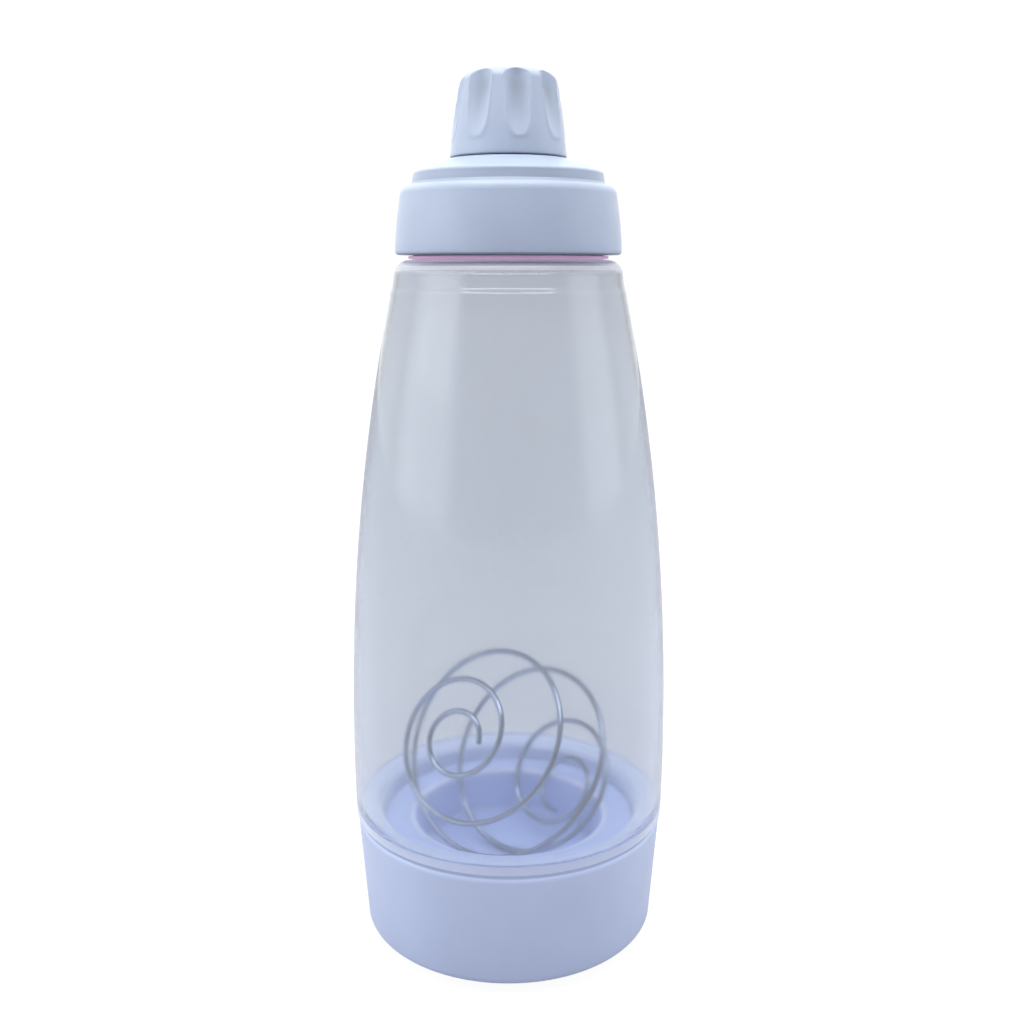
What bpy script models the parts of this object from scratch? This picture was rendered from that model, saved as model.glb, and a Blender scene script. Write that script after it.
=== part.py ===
"""Squeeze bottle with a screw base, a screw lid, a fluted cap and a loose wire whisk ball.

Metres, +Z up. The origin is the middle of the foot, on the surface that the bottle stands on.
Every piece is turned about the Z axis, apart from the whisk ball. Heights are worked out from the
foot upwards, and radii from the axis outwards, so a piece follows what carries it.
"""
import math

import bpy
import bmesh
from mathutils import Matrix, Vector

# Clearances
SEAT_GAP = 0.0003          # between faces that rest on each other
SLIDE_GAP = 0.0003         # between walls that pass each other
THREAD_GAP = 0.0004        # between a thread's crest and the wall it turns in
FINE_EDGE = 0.0003         # bevel on the mouths, rims and tips

# Base cup
CUP_HEIGHT = 0.0347
FOOT_EDGE_WIDTH = 0.0078   # the rounded foot edge, wider than it is high
FOOT_EDGE_HEIGHT = 0.0038
FOOT_RING_HEIGHT = 0.0012  # the ring that the bottle stands on, set in under the rounded edge
FOOT_RING_WIDTH = 0.0050
FOOT_RECESS = 0.0014
CUP_EDGE = 0.0004
CUP_FLOOR = 0.0016
RIM_INSET = 0.0004         # how much narrower the cup is than the bottle at the seam
CUP_FLARE = 0.0021         # how much wider the cup is at the rim than at the foot
LEDGE_WIDTH = 0.0021
LEDGE_DROP = 0.0046        # from the spigot's end down to the ledge

# Inner floor of the base
TRAY_WALL = 0.0016
SHELF_DROP = 0.0027        # from the cup's rim down to the shelf
SHELF_WIDTH = 0.0088
WELL_DEPTH = 0.0130
WELL_FILLET = 0.0020
TRAY_FLANGE = 0.0020
TRAY_EDGE = 0.0008

# Bottle shell
BELLY_RADIUS = 0.0427
BELLY_HEIGHT = 0.0170      # above the seam
SEAM_INSET = 0.0003
BODY_HEIGHT = 0.1487       # from the seam to the top of the shoulder
BODY_DRAW = 2.1            # power of the curve that draws the body in towards the shoulder
SHELL_WALL = 0.0014
SHOULDER_WIDTH = 0.0052    # from the neck out to the body
SHOULDER_FLAT = 0.0013     # the flat round the neck that the soft ring lies on
SHOULDER_DROP = 0.0048     # height of the shoulder's dome
STEP_WIDTH = 0.0049        # from the seam in to the spigot
SPIGOT_LENGTH = 0.0132
SPIGOT_WALL = 0.0021

# Neck
NECK_RADIUS = 0.0243
NECK_HEIGHT = 0.0159
NECK_WALL = 0.0016

# Soft rings
LID_SEAL_HEIGHT = 0.0007
LID_SEAL_WIDTH = 0.0009
BASE_SEAL_WIDTH = 0.0031

# Lid
LID_WALL = 0.0029
LID_TAPER = 0.0014         # how much narrower the skirt is at its top
LID_TOP = 0.0020
LID_TOP_FILLET = 0.0026
LID_FOOT_EDGE = 0.0009
LID_CORNER = 0.0016        # inner corner under the skirt's top edge
STEP_FILLET = 0.0009
STEP_INSET = 0.0034
STEP_RISE = 0.0034
SLOPE_RISE = 0.0030
PLUG_DEPTH = 0.0035
PLUG_WALL = 0.0015

# Nozzle collar, nozzle and its retainer
COLLAR_RADIUS = 0.0098
COLLAR_HEIGHT = 0.0088
COLLAR_WALL = 0.0018
NOZZLE_WALL = 0.0014
NOZZLE_TIP_RADIUS = 0.0046
NOZZLE_MOUTH_RADIUS = 0.0031
NOZZLE_MOUTH_LENGTH = 0.0020
NOZZLE_FLANGE = 0.0015
NOZZLE_FLANGE_WIDTH = 0.0055
RETAINER_HEIGHT = 0.0017
RETAINER_WIDTH = 0.0039
RETAINER_EDGE = 0.0005
CLIP_WALL = 0.0014
CLIP_BEAD = 0.0005
CLIP_LIP = 0.0012          # how far the clip reaches below the retainer
CLIP_LEAD_IN = 0.0004
CLIP_LAND = 0.0003

# Fluted cap and its liner
OVERCAP_HEIGHT = 0.0207
OVERCAP_WALL = 0.0038
OVERCAP_TAPER = 0.0025     # how much narrower the cap is below its rounded top
OVERCAP_FILLET = 0.0034     # height of the cap's rounded top edge
OVERCAP_FILLET_WIDTH = 0.0047
OVERCAP_TOP = 0.0029
OVERCAP_SKIRT = 0.0092     # height of the wide, threaded part of the cap's bore
LINER_THICKNESS = 0.0012
LINER_RADIUS = 0.0081
FLUTE_COUNT = 8
FLUTE_RADIUS = 0.0040
FLUTE_DEPTH = 0.0024
FLUTE_LENGTH = 0.0165
FLUTE_PHASE = math.radians(-79.0)

# Threads: all right-handed, and each is one ridge of this many turns
THREAD_TURNS = 1.5
RIDGE_ROOT = 0.0002         # how deep a ridge is rooted in its wall
BASE_LEAD = 0.0040
BASE_RIDGE = 0.0011
BASE_THREAD_START = 0.0030  # above the spigot's end
LID_LEAD = 0.0040
LID_RIDGE = 0.0012
LID_THREAD_START = 0.0062   # above the shoulder
CAP_LEAD = 0.0030
CAP_RIDGE = 0.0007
CAP_THREAD_START = 0.0031   # above the collar's foot

# Whisk ball: one wire, wound from pole to pole on a ball
WIRE_DIAMETER = 0.0015
BALL_RADIUS = 0.0292
BALL_OFFSET = 0.0006        # how far the loose ball has rolled to the left, towards -X
BALL_TURNS = 5.87
BALL_START = math.radians(11.7)
BALL_END = math.radians(165.6)
BALL_PHASE = math.radians(319.8)
BALL_STRETCH = 1.04
POLE_ELEVATION = math.radians(33.5)
POLE_AZIMUTH = math.radians(-41.4)
POLE_TURN_ELEVATION = math.radians(8.7)
POLE_TURN_AZIMUTH = math.radians(-19.7)
PITCH_SWELL = 0.63          # loops lie further apart round the ball's middle
PITCH_SKEW = 0.20
LOOP_TILT = math.radians(2.5)
LOOP_TILT_PHASE = math.radians(-5.7)
POINTS_PER_LOOP = 24

# Fineness of the turned pieces
SEGMENTS = 40
SMALL_SEGMENTS = 32
SHARP_ANGLE = math.radians(32.0)

# Heights and radii that follow from the sizes above
SEAM = CUP_HEIGHT + SEAT_GAP
SEAM_RADIUS = BELLY_RADIUS - SEAM_INSET
SPIGOT_RADIUS = SEAM_RADIUS - STEP_WIDTH
SPIGOT_END = SEAM - SPIGOT_LENGTH
SPIGOT_BORE = SPIGOT_RADIUS - SPIGOT_WALL
CUP_BORE = SPIGOT_RADIUS + BASE_RIDGE + THREAD_GAP
CUP_LEDGE = SPIGOT_END - LEDGE_DROP
TRAY_FOOT = CUP_LEDGE + SEAT_GAP
FLANGE_TOP = TRAY_FOOT + TRAY_FLANGE
BASE_SEAL_FOOT = FLANGE_TOP + SEAT_GAP
BASE_SEAL_TOP = SPIGOT_END - SEAT_GAP
PLUG_RADIUS = SPIGOT_BORE - THREAD_GAP
SHELF = CUP_HEIGHT - SHELF_DROP
WELL_RADIUS = PLUG_RADIUS - SHELF_WIDTH
WELL_FLOOR = SHELF - WELL_DEPTH

SHOULDER = SEAM + BODY_HEIGHT
BELLY = SEAM + BELLY_HEIGHT
SHOULDER_RADIUS = NECK_RADIUS + SHOULDER_WIDTH
SHOULDER_FOOT = SHOULDER - SHOULDER_DROP
NECK_BORE = NECK_RADIUS - NECK_WALL
MOUTH = SHOULDER + NECK_HEIGHT

LID_SEAL_FOOT = SHOULDER + SEAT_GAP
LID_SEAL_TOP = LID_SEAL_FOOT + LID_SEAL_HEIGHT
LID_FOOT = LID_SEAL_TOP + SEAT_GAP
LID_BORE = NECK_RADIUS + LID_RIDGE + THREAD_GAP
LID_CEILING = MOUTH + SEAT_GAP
LID_RADIUS = LID_BORE + LID_WALL
LID_STEP = LID_CEILING + LID_TOP
STEP_RADIUS = LID_RADIUS - LID_TAPER - STEP_INSET
SLOPE_FOOT = LID_STEP + STEP_RISE
COLLAR_FOOT = SLOPE_FOOT + SLOPE_RISE
COLLAR_TOP = COLLAR_FOOT + COLLAR_HEIGHT
COLLAR_BORE = COLLAR_RADIUS - COLLAR_WALL
LID_UNDERSIDE = COLLAR_FOOT - LID_TOP
PLUG_RING_RADIUS = NECK_BORE - SLIDE_GAP
PLUG_RING_BORE = PLUG_RING_RADIUS - PLUG_WALL

NOZZLE_RADIUS = COLLAR_BORE - SLIDE_GAP
NOZZLE_FLANGE_RADIUS = NOZZLE_RADIUS + NOZZLE_FLANGE_WIDTH
NOZZLE_FLANGE_TOP = LID_UNDERSIDE - SEAT_GAP
NOZZLE_FOOT = NOZZLE_FLANGE_TOP - NOZZLE_FLANGE
RETAINER_TOP = NOZZLE_FOOT - SEAT_GAP
RETAINER_FOOT = RETAINER_TOP - RETAINER_HEIGHT
RETAINER_RADIUS = NOZZLE_FLANGE_RADIUS
CLIP_BORE = NOZZLE_FLANGE_RADIUS + SLIDE_GAP
CLIP_RADIUS = CLIP_BORE + CLIP_WALL

OVERCAP_FOOT = COLLAR_FOOT + SEAT_GAP
OVERCAP_END = OVERCAP_FOOT + OVERCAP_HEIGHT
OVERCAP_BORE = COLLAR_RADIUS + CAP_RIDGE + THREAD_GAP
OVERCAP_RADIUS = OVERCAP_BORE + OVERCAP_WALL
SLOPE_TOP_RADIUS = OVERCAP_RADIUS + 2.0 * SLIDE_GAP
OVERCAP_CEILING = OVERCAP_END - OVERCAP_TOP
LINER_TOP = OVERCAP_CEILING - SEAT_GAP
LINER_FOOT = LINER_TOP - LINER_THICKNESS
LINER_BORE = LINER_RADIUS + SLIDE_GAP
NOZZLE_TIP = LINER_FOOT - SEAT_GAP


def fresh_collection(name):
    """Return an empty collection of this name, linked to the scene."""
    collection = bpy.data.collections.new(name)
    bpy.context.scene.collection.children.link(collection)
    return collection


def make_material(name, colour, roughness, metallic=0.0, alpha=1.0):
    """One Principled material."""
    material = bpy.data.materials.new(name)
    material.use_nodes = True
    shader = material.node_tree.nodes["Principled BSDF"]
    shader.inputs["Base Color"].default_value = (*colour, 1.0)
    shader.inputs["Roughness"].default_value = roughness
    shader.inputs["Metallic"].default_value = metallic
    shader.inputs["Alpha"].default_value = alpha
    material.diffuse_color = (*colour, alpha)
    return material


def arc(centre_r, centre_z, width, height, start, end, steps):
    """Points of a round stretch of an outline, with angles in degrees from the outward direction."""
    points = []
    for i in range(steps + 1):
        angle = math.radians(start + (end - start) * i / steps)
        points.append((centre_r + width * math.cos(angle), centre_z + height * math.sin(angle)))
    return points


def round_arc(centre_r, centre_z, radius, start, end, steps):
    """A stretch of a circle."""
    return arc(centre_r, centre_z, radius, radius, start, end, steps)


def turned(name, outline, closed, base, material, collection, segments=SEGMENTS):
    """Turn an outline of (radius, height) points about Z. It runs down the outer side first."""
    mesh = bpy.data.meshes.new(name)
    corners = [(r, 0.0, z - base) for r, z in outline]
    edges = [(i, i + 1) for i in range(len(corners) - 1)]
    if closed:
        edges.append((len(corners) - 1, 0))
    mesh.from_pydata(corners, edges, [])
    piece = bpy.data.objects.new(name, mesh)
    piece.location.z = base
    collection.objects.link(piece)
    screw = piece.modifiers.new("Turn", "SCREW")
    screw.axis = "Z"
    screw.angle = math.tau
    screw.steps = segments
    screw.render_steps = segments
    screw.use_merge_vertices = True
    screw.merge_threshold = 0.00001
    screw.use_smooth_shade = True
    mesh.materials.append(material)
    return piece


def mesh_from_curve(piece, collection):
    """Replace a curve by its closed mesh, with the loose end caps welded on."""
    bpy.context.view_layer.update()
    solid = bpy.data.meshes.new_from_object(piece.evaluated_get(bpy.context.evaluated_depsgraph_get()))
    welder = bmesh.new()
    welder.from_mesh(solid)
    bmesh.ops.remove_doubles(welder, verts=welder.verts, dist=0.00001)
    bmesh.ops.recalc_face_normals(welder, faces=welder.faces)
    welder.to_mesh(solid)
    welder.free()
    name = piece.name
    result = bpy.data.objects.new(name + "_solid", solid)
    result.matrix_world = piece.matrix_world
    collection.objects.link(result)
    bpy.data.objects.remove(piece)
    result.name = name
    return result


def wire_curve(name, points, diameter, resolution, collection, radii=None):
    """A round wire along points, with closed ends."""
    data = bpy.data.curves.new(name, "CURVE")
    data.dimensions = "3D"
    data.twist_mode = "Z_UP"
    data.bevel_depth = diameter / 2.0
    data.bevel_resolution = resolution
    data.use_fill_caps = True
    spline = data.splines.new("POLY")
    spline.points.add(len(points) - 1)
    for i, point in enumerate(points):
        spline.points[i].co = (*point, 1.0)
        spline.points[i].radius = radii[i] if radii else 1.0
    piece = bpy.data.objects.new(name, data)
    collection.objects.link(piece)
    return piece


def thread_ridge(name, wall, outward, start, lead, ridge, segments):
    """A V-shaped ridge that climbs to the right round a wall, and fades into it at both ends.

    It stands out of the wall where outward is 1, and into a bore where outward is -1.
    """
    radius = wall - outward * RIDGE_ROOT
    count = round(THREAD_TURNS * segments)
    run_out = max(2, segments // 10)
    points = []
    radii = []
    for i in range(count + 1):
        angle = math.tau * i / segments
        height = start + lead * i / segments
        points.append((radius * math.cos(angle), radius * math.sin(angle), height))
        radii.append(min(1.0, 0.1 + 0.9 * min(i, count - i) / run_out))
    ridge_curve = wire_curve(name, points, 2.0 * (ridge + RIDGE_ROOT), 0, CUTTERS, radii)
    return mark_as_cutter(mesh_from_curve(ridge_curve, CUTTERS))


def mark_as_cutter(piece):
    """Show a cutter or a joined shape as wires only."""
    piece.hide_render = True
    piece.display_type = "WIRE"
    return piece


def combine(piece, other, operation):
    """Cut or join another shape with a piece."""
    boolean = piece.modifiers.new(operation.title(), "BOOLEAN")
    boolean.operation = operation
    boolean.solver = "EXACT"
    boolean.object = other


def settle(piece):
    """Apply a piece's modifiers and shade it smooth, with its real edges sharp."""
    bpy.context.view_layer.update()
    shaped = bpy.data.meshes.new_from_object(piece.evaluated_get(bpy.context.evaluated_depsgraph_get()))
    old = piece.data
    piece.modifiers.clear()
    piece.data = shaped
    shaped.name = old.name
    bpy.data.meshes.remove(old)
    shaped.shade_smooth()
    shaped.set_sharp_from_angle(angle=SHARP_ANGLE)


def carry(carrier, piece):
    """Parent a piece to the one that carries it, leaving it where it is."""
    piece.parent = carrier
    piece.location.z -= carrier.matrix_world.translation.z
    bpy.context.view_layer.update()


def body_radius(height):
    """Outer radius of the bottle's body: a curve that draws in from the belly to the shoulder."""
    if height < BELLY:
        return BELLY_RADIUS - SEAM_INSET * ((BELLY - height) / BELLY_HEIGHT) ** 2
    share = (height - BELLY) / (SHOULDER_FOOT - BELLY)
    return BELLY_RADIUS - (BELLY_RADIUS - SHOULDER_RADIUS) * share ** BODY_DRAW


def base_cup(collection):
    """The outer cup of the base, with its foot ring, ledge and thread."""
    material = make_material("pale_blue_plastic", (0.56, 0.63, 0.82), 0.38)
    rim_radius = SEAM_RADIUS - RIM_INSET
    wall_foot = rim_radius - CUP_FLARE
    ring_outer = wall_foot - FOOT_EDGE_WIDTH
    ring_inner = ring_outer - FOOT_RING_WIDTH
    edge_middle = FOOT_RING_HEIGHT + FOOT_EDGE_HEIGHT
    ledge_bore = CUP_BORE - LEDGE_WIDTH
    floor_top = FOOT_RECESS + CUP_FLOOR
    outline = [(0.0, floor_top), (ledge_bore, floor_top), (ledge_bore, CUP_LEDGE), (CUP_BORE, CUP_LEDGE)]
    outline += [(CUP_BORE, CUP_HEIGHT - CUP_EDGE), (CUP_BORE + CUP_EDGE, CUP_HEIGHT)]
    outline += [(rim_radius - CUP_EDGE, CUP_HEIGHT), (rim_radius, CUP_HEIGHT - CUP_EDGE)]
    outline += arc(ring_outer, edge_middle, FOOT_EDGE_WIDTH, FOOT_EDGE_HEIGHT, 0.0, -90.0, 6)
    outline += [(ring_outer - CUP_EDGE, FOOT_RING_HEIGHT - CUP_EDGE), (ring_outer - CUP_EDGE, 0.0)]
    outline += [(ring_inner, 0.0), (ring_inner - FOOT_RECESS, FOOT_RECESS), (0.0, FOOT_RECESS)]
    cup = turned("base_cup", outline, False, 0.0, material, collection)
    start = SPIGOT_END + BASE_THREAD_START + BASE_LEAD / 2.0
    ridge = thread_ridge("cup_thread", CUP_BORE, -1, start, BASE_LEAD, BASE_RIDGE, SEGMENTS)
    combine(cup, ridge, "UNION")
    settle(cup)
    return cup


def base_tray(collection):
    """The inner floor: a shelf round a well, and a flange that the base seal lies on."""
    material = make_material("blue_floor_plastic", (0.40, 0.47, 0.74), 0.42)
    flange_radius = CUP_BORE - THREAD_GAP
    inner_plug = PLUG_RADIUS - TRAY_WALL
    outer_well = WELL_RADIUS + TRAY_WALL
    outline = [(0.0, WELL_FLOOR)]
    outline += round_arc(WELL_RADIUS - WELL_FILLET, WELL_FLOOR + WELL_FILLET, WELL_FILLET, -90.0, 0.0, 3)
    outline += [(WELL_RADIUS, SHELF - TRAY_EDGE), (WELL_RADIUS + TRAY_EDGE, SHELF)]
    outline += [(PLUG_RADIUS - TRAY_EDGE, SHELF), (PLUG_RADIUS, SHELF - TRAY_EDGE)]
    outline += [(PLUG_RADIUS, FLANGE_TOP), (flange_radius, FLANGE_TOP), (flange_radius, TRAY_FOOT)]
    outline += [(inner_plug, TRAY_FOOT), (inner_plug, SHELF - TRAY_WALL), (outer_well, SHELF - TRAY_WALL)]
    outline += [(outer_well, WELL_FLOOR + WELL_FILLET), (outer_well - WELL_FILLET, WELL_FLOOR - TRAY_WALL)]
    outline += [(0.0, WELL_FLOOR - TRAY_WALL)]
    tray = turned("base_tray", outline, False, TRAY_FOOT, material, collection)
    settle(tray)
    return tray


def ring(name, inner, outer, foot, top, material, collection, segments=SEGMENTS):
    """A plain flat ring."""
    outline = [(inner, top), (outer, top), (outer, foot), (inner, foot)]
    piece = turned(name, outline, True, foot, material, collection, segments)
    settle(piece)
    return piece


def base_seal(collection):
    """The soft ring between the spigot's end and the inner floor's flange."""
    material = make_material("white_silicone", (0.78, 0.78, 0.80), 0.55)
    inner = PLUG_RADIUS + SLIDE_GAP
    outer = inner + BASE_SEAL_WIDTH
    return ring("base_seal", inner, outer, BASE_SEAL_FOOT, BASE_SEAL_TOP, material, collection)


def bottle_shell(collection):
    """The clear body: spigot, step, belly, shoulder and neck in one even wall."""
    material = make_material("clear_plastic", (0.76, 0.80, 0.88), 0.12, 0.0, 0.30)
    dome = SHOULDER_WIDTH - SHOULDER_FLAT
    corner = NECK_RADIUS + SHOULDER_FLAT
    body_steps = 9
    heights = [SHOULDER_FOOT + (BELLY - SHOULDER_FOOT) * i / body_steps for i in range(body_steps + 1)]
    outline = [(NECK_BORE, MOUTH), (NECK_RADIUS - FINE_EDGE, MOUTH), (NECK_RADIUS, MOUTH - FINE_EDGE)]
    outline += [(NECK_RADIUS, SHOULDER)]
    outline += arc(corner, SHOULDER_FOOT, dome, SHOULDER_DROP, 90.0, 15.0, 5)
    outline += [(body_radius(z), z) for z in heights]
    outline += [(SEAM_RADIUS, SEAM + FINE_EDGE), (SEAM_RADIUS - FINE_EDGE, SEAM), (SPIGOT_RADIUS, SEAM)]
    outline += [(SPIGOT_RADIUS, SPIGOT_END), (SPIGOT_BORE, SPIGOT_END), (SPIGOT_BORE, SEAM + FINE_EDGE)]
    outline += [(SPIGOT_BORE + SHELL_WALL, SEAM + SHELL_WALL)]
    outline += [(SEAM_RADIUS - 2.0 * SHELL_WALL, SEAM + SHELL_WALL)]
    outline += [(SEAM_RADIUS - SHELL_WALL, SEAM + 2.0 * SHELL_WALL)]
    outline += [(body_radius(z) - SHELL_WALL, z) for z in reversed(heights)]
    outline += arc(corner, SHOULDER_FOOT, dome - SHELL_WALL, SHOULDER_DROP - SHELL_WALL, 15.0, 90.0, 4)
    outline += [(NECK_BORE + FINE_EDGE, SHOULDER - SHELL_WALL)]
    outline += [(NECK_BORE, SHOULDER - SHELL_WALL + FINE_EDGE)]
    shell = turned("bottle_shell", outline, True, SPIGOT_END, material, collection)
    spigot_start = BASE_THREAD_START
    spigot_ridge = thread_ridge("spigot_thread", SPIGOT_RADIUS, 1, spigot_start, BASE_LEAD, BASE_RIDGE,
                                SEGMENTS)
    spigot_ridge.location.z = SPIGOT_END
    neck_start = LID_THREAD_START + LID_LEAD / 2.0
    neck_ridge = thread_ridge("neck_thread", NECK_RADIUS, 1, neck_start, LID_LEAD, LID_RIDGE, SEGMENTS)
    neck_ridge.location.z = SHOULDER
    combine(shell, spigot_ridge, "UNION")
    combine(shell, neck_ridge, "UNION")
    settle(shell)
    return shell


def lid_seal(collection):
    """The pink soft ring round the foot of the neck, which the lid closes down on."""
    material = make_material("pink_silicone", (0.72, 0.38, 0.60), 0.50)
    inner = NECK_RADIUS + SLIDE_GAP
    outer = inner + LID_SEAL_WIDTH
    return ring("lid_seal", inner, outer, LID_SEAL_FOOT, LID_SEAL_TOP, material, collection)


def lid(collection):
    """The screw lid: skirt, step, slope, nozzle collar, plug ring and the clip for the retainer."""
    material = make_material("white_blue_plastic", (0.66, 0.74, 0.88), 0.40)
    skirt_top = LID_RADIUS - LID_TAPER
    clip_foot = RETAINER_FOOT - CLIP_LIP
    bead_foot = clip_foot + CLIP_LEAD_IN
    outline = [(COLLAR_BORE, COLLAR_TOP), (COLLAR_RADIUS, COLLAR_TOP), (COLLAR_RADIUS, COLLAR_FOOT)]
    outline += [(SLOPE_TOP_RADIUS, COLLAR_FOOT)]
    outline += round_arc(STEP_RADIUS - STEP_FILLET, SLOPE_FOOT - STEP_FILLET, STEP_FILLET, 80.0, 0.0, 3)
    outline += [(STEP_RADIUS + FINE_EDGE, LID_STEP + 2.0 * FINE_EDGE)]
    outline += [(STEP_RADIUS + 3.0 * FINE_EDGE, LID_STEP)]
    outline += round_arc(skirt_top - LID_TOP_FILLET, LID_STEP - LID_TOP_FILLET, LID_TOP_FILLET, 90.0, 5.0, 5)
    outline += [(LID_RADIUS - 0.4 * LID_TAPER, 0.5 * (LID_FOOT + LID_STEP))]
    outline += round_arc(LID_RADIUS - LID_FOOT_EDGE, LID_FOOT + LID_FOOT_EDGE, LID_FOOT_EDGE, 0.0, -90.0, 2)
    outline += [(LID_BORE, LID_FOOT), (LID_BORE, LID_CEILING - LID_CORNER)]
    outline += [(LID_BORE - LID_CORNER / 2.0, LID_CEILING), (PLUG_RING_RADIUS, LID_CEILING)]
    outline += [(PLUG_RING_RADIUS, LID_CEILING - PLUG_DEPTH + FINE_EDGE)]
    outline += [(PLUG_RING_RADIUS - FINE_EDGE, LID_CEILING - PLUG_DEPTH)]
    outline += [(PLUG_RING_BORE, LID_CEILING - PLUG_DEPTH), (PLUG_RING_BORE, SLOPE_FOOT - LID_TOP)]
    outline += [(CLIP_RADIUS, LID_UNDERSIDE), (CLIP_RADIUS, clip_foot), (CLIP_BORE, clip_foot)]
    outline += [(CLIP_BORE - CLIP_BEAD, bead_foot), (CLIP_BORE - CLIP_BEAD, bead_foot + CLIP_LAND)]
    outline += [(CLIP_BORE, RETAINER_FOOT), (CLIP_BORE, LID_UNDERSIDE), (COLLAR_BORE, LID_UNDERSIDE)]
    piece = turned("lid", outline, True, LID_FOOT, material, collection)
    skirt_ridge = thread_ridge("lid_thread", LID_BORE, -1, LID_THREAD_START, LID_LEAD, LID_RIDGE, SEGMENTS)
    skirt_ridge.location.z = SHOULDER
    collar_start = CAP_THREAD_START + CAP_LEAD / 2.0
    collar_ridge = thread_ridge("collar_thread", COLLAR_RADIUS, 1, collar_start, CAP_LEAD, CAP_RIDGE,
                                SMALL_SEGMENTS)
    collar_ridge.location.z = COLLAR_FOOT
    combine(piece, skirt_ridge, "UNION")
    combine(piece, collar_ridge, "UNION")
    settle(piece)
    return piece


def spout(collection):
    """The soft nozzle, held by its flange under the lid and standing up through the collar."""
    material = make_material("clear_silicone", (0.80, 0.80, 0.82), 0.45)
    bore = NOZZLE_RADIUS - NOZZLE_WALL
    outline = [(NOZZLE_MOUTH_RADIUS, NOZZLE_TIP), (NOZZLE_TIP_RADIUS - FINE_EDGE, NOZZLE_TIP)]
    outline += [(NOZZLE_TIP_RADIUS, NOZZLE_TIP - FINE_EDGE), (NOZZLE_RADIUS, COLLAR_TOP + FINE_EDGE)]
    outline += [(NOZZLE_RADIUS, NOZZLE_FLANGE_TOP), (NOZZLE_FLANGE_RADIUS, NOZZLE_FLANGE_TOP)]
    outline += [(NOZZLE_FLANGE_RADIUS, NOZZLE_FOOT), (bore, NOZZLE_FOOT), (bore, COLLAR_TOP)]
    outline += [(NOZZLE_MOUTH_RADIUS, NOZZLE_TIP - NOZZLE_MOUTH_LENGTH)]
    piece = turned("spout", outline, True, NOZZLE_FOOT, material, collection, SMALL_SEGMENTS)
    settle(piece)
    return piece


def spout_retainer(collection):
    """The ring that clips in from below and holds the nozzle's flange up against the lid."""
    material = make_material("white_plastic", (0.78, 0.80, 0.84), 0.40)
    inner = RETAINER_RADIUS - RETAINER_WIDTH
    outline = [(inner, RETAINER_TOP), (RETAINER_RADIUS, RETAINER_TOP)]
    outline += [(RETAINER_RADIUS, RETAINER_FOOT + RETAINER_EDGE)]
    outline += [(RETAINER_RADIUS - RETAINER_EDGE, RETAINER_FOOT)]
    outline += [(inner, RETAINER_FOOT)]
    piece = turned("spout_retainer", outline, True, RETAINER_FOOT, material, collection, SMALL_SEGMENTS)
    settle(piece)
    return piece


def flute_cutters():
    """Leaning cylinders that scoop the flutes out of the cap's side, deepest at its top."""
    flute_foot = OVERCAP_END - FLUTE_LENGTH
    foot_radius = overcap_radius(flute_foot)
    top_radius = OVERCAP_RADIUS - OVERCAP_TAPER - FLUTE_DEPTH
    lean = math.atan2(foot_radius - top_radius, FLUTE_LENGTH)
    length = 2.0 * FLUTE_LENGTH
    shape = bmesh.new()
    for i in range(FLUTE_COUNT):
        angle = FLUTE_PHASE + math.tau * i / FLUTE_COUNT
        made = bmesh.ops.create_cone(shape, cap_ends=True, segments=24, radius1=FLUTE_RADIUS,
                                     radius2=FLUTE_RADIUS, depth=length)
        verts = made["verts"]
        bmesh.ops.rotate(shape, verts=verts, cent=(0, 0, 0), matrix=lean_matrix(lean))
        middle = flute_foot + FLUTE_LENGTH / 2.0
        middle_radius = (foot_radius + top_radius) / 2.0 + FLUTE_RADIUS / math.cos(lean)
        bmesh.ops.translate(shape, verts=verts, vec=(middle_radius, 0, middle))
        bmesh.ops.rotate(shape, verts=verts, cent=(0, 0, 0), matrix=turn_matrix(angle))
    mesh = bpy.data.meshes.new("flutes")
    shape.to_mesh(mesh)
    shape.free()
    cutters = bpy.data.objects.new("flutes", mesh)
    CUTTERS.objects.link(cutters)
    return mark_as_cutter(cutters)


def lean_matrix(angle):
    """Lean about the Y axis, so that the top tips towards the Z axis."""
    return Matrix.Rotation(-angle, 3, "Y")


def turn_matrix(angle):
    """Turn about the Z axis."""
    return Matrix.Rotation(angle, 3, "Z")


def overcap_radius(height):
    """Outer radius of the cap's side, which bows in a little more towards its top."""
    share = (height - OVERCAP_FOOT) / (OVERCAP_HEIGHT - OVERCAP_FILLET)
    return OVERCAP_RADIUS - OVERCAP_TAPER * (0.75 * share + 0.25 * share ** 2)


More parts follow.
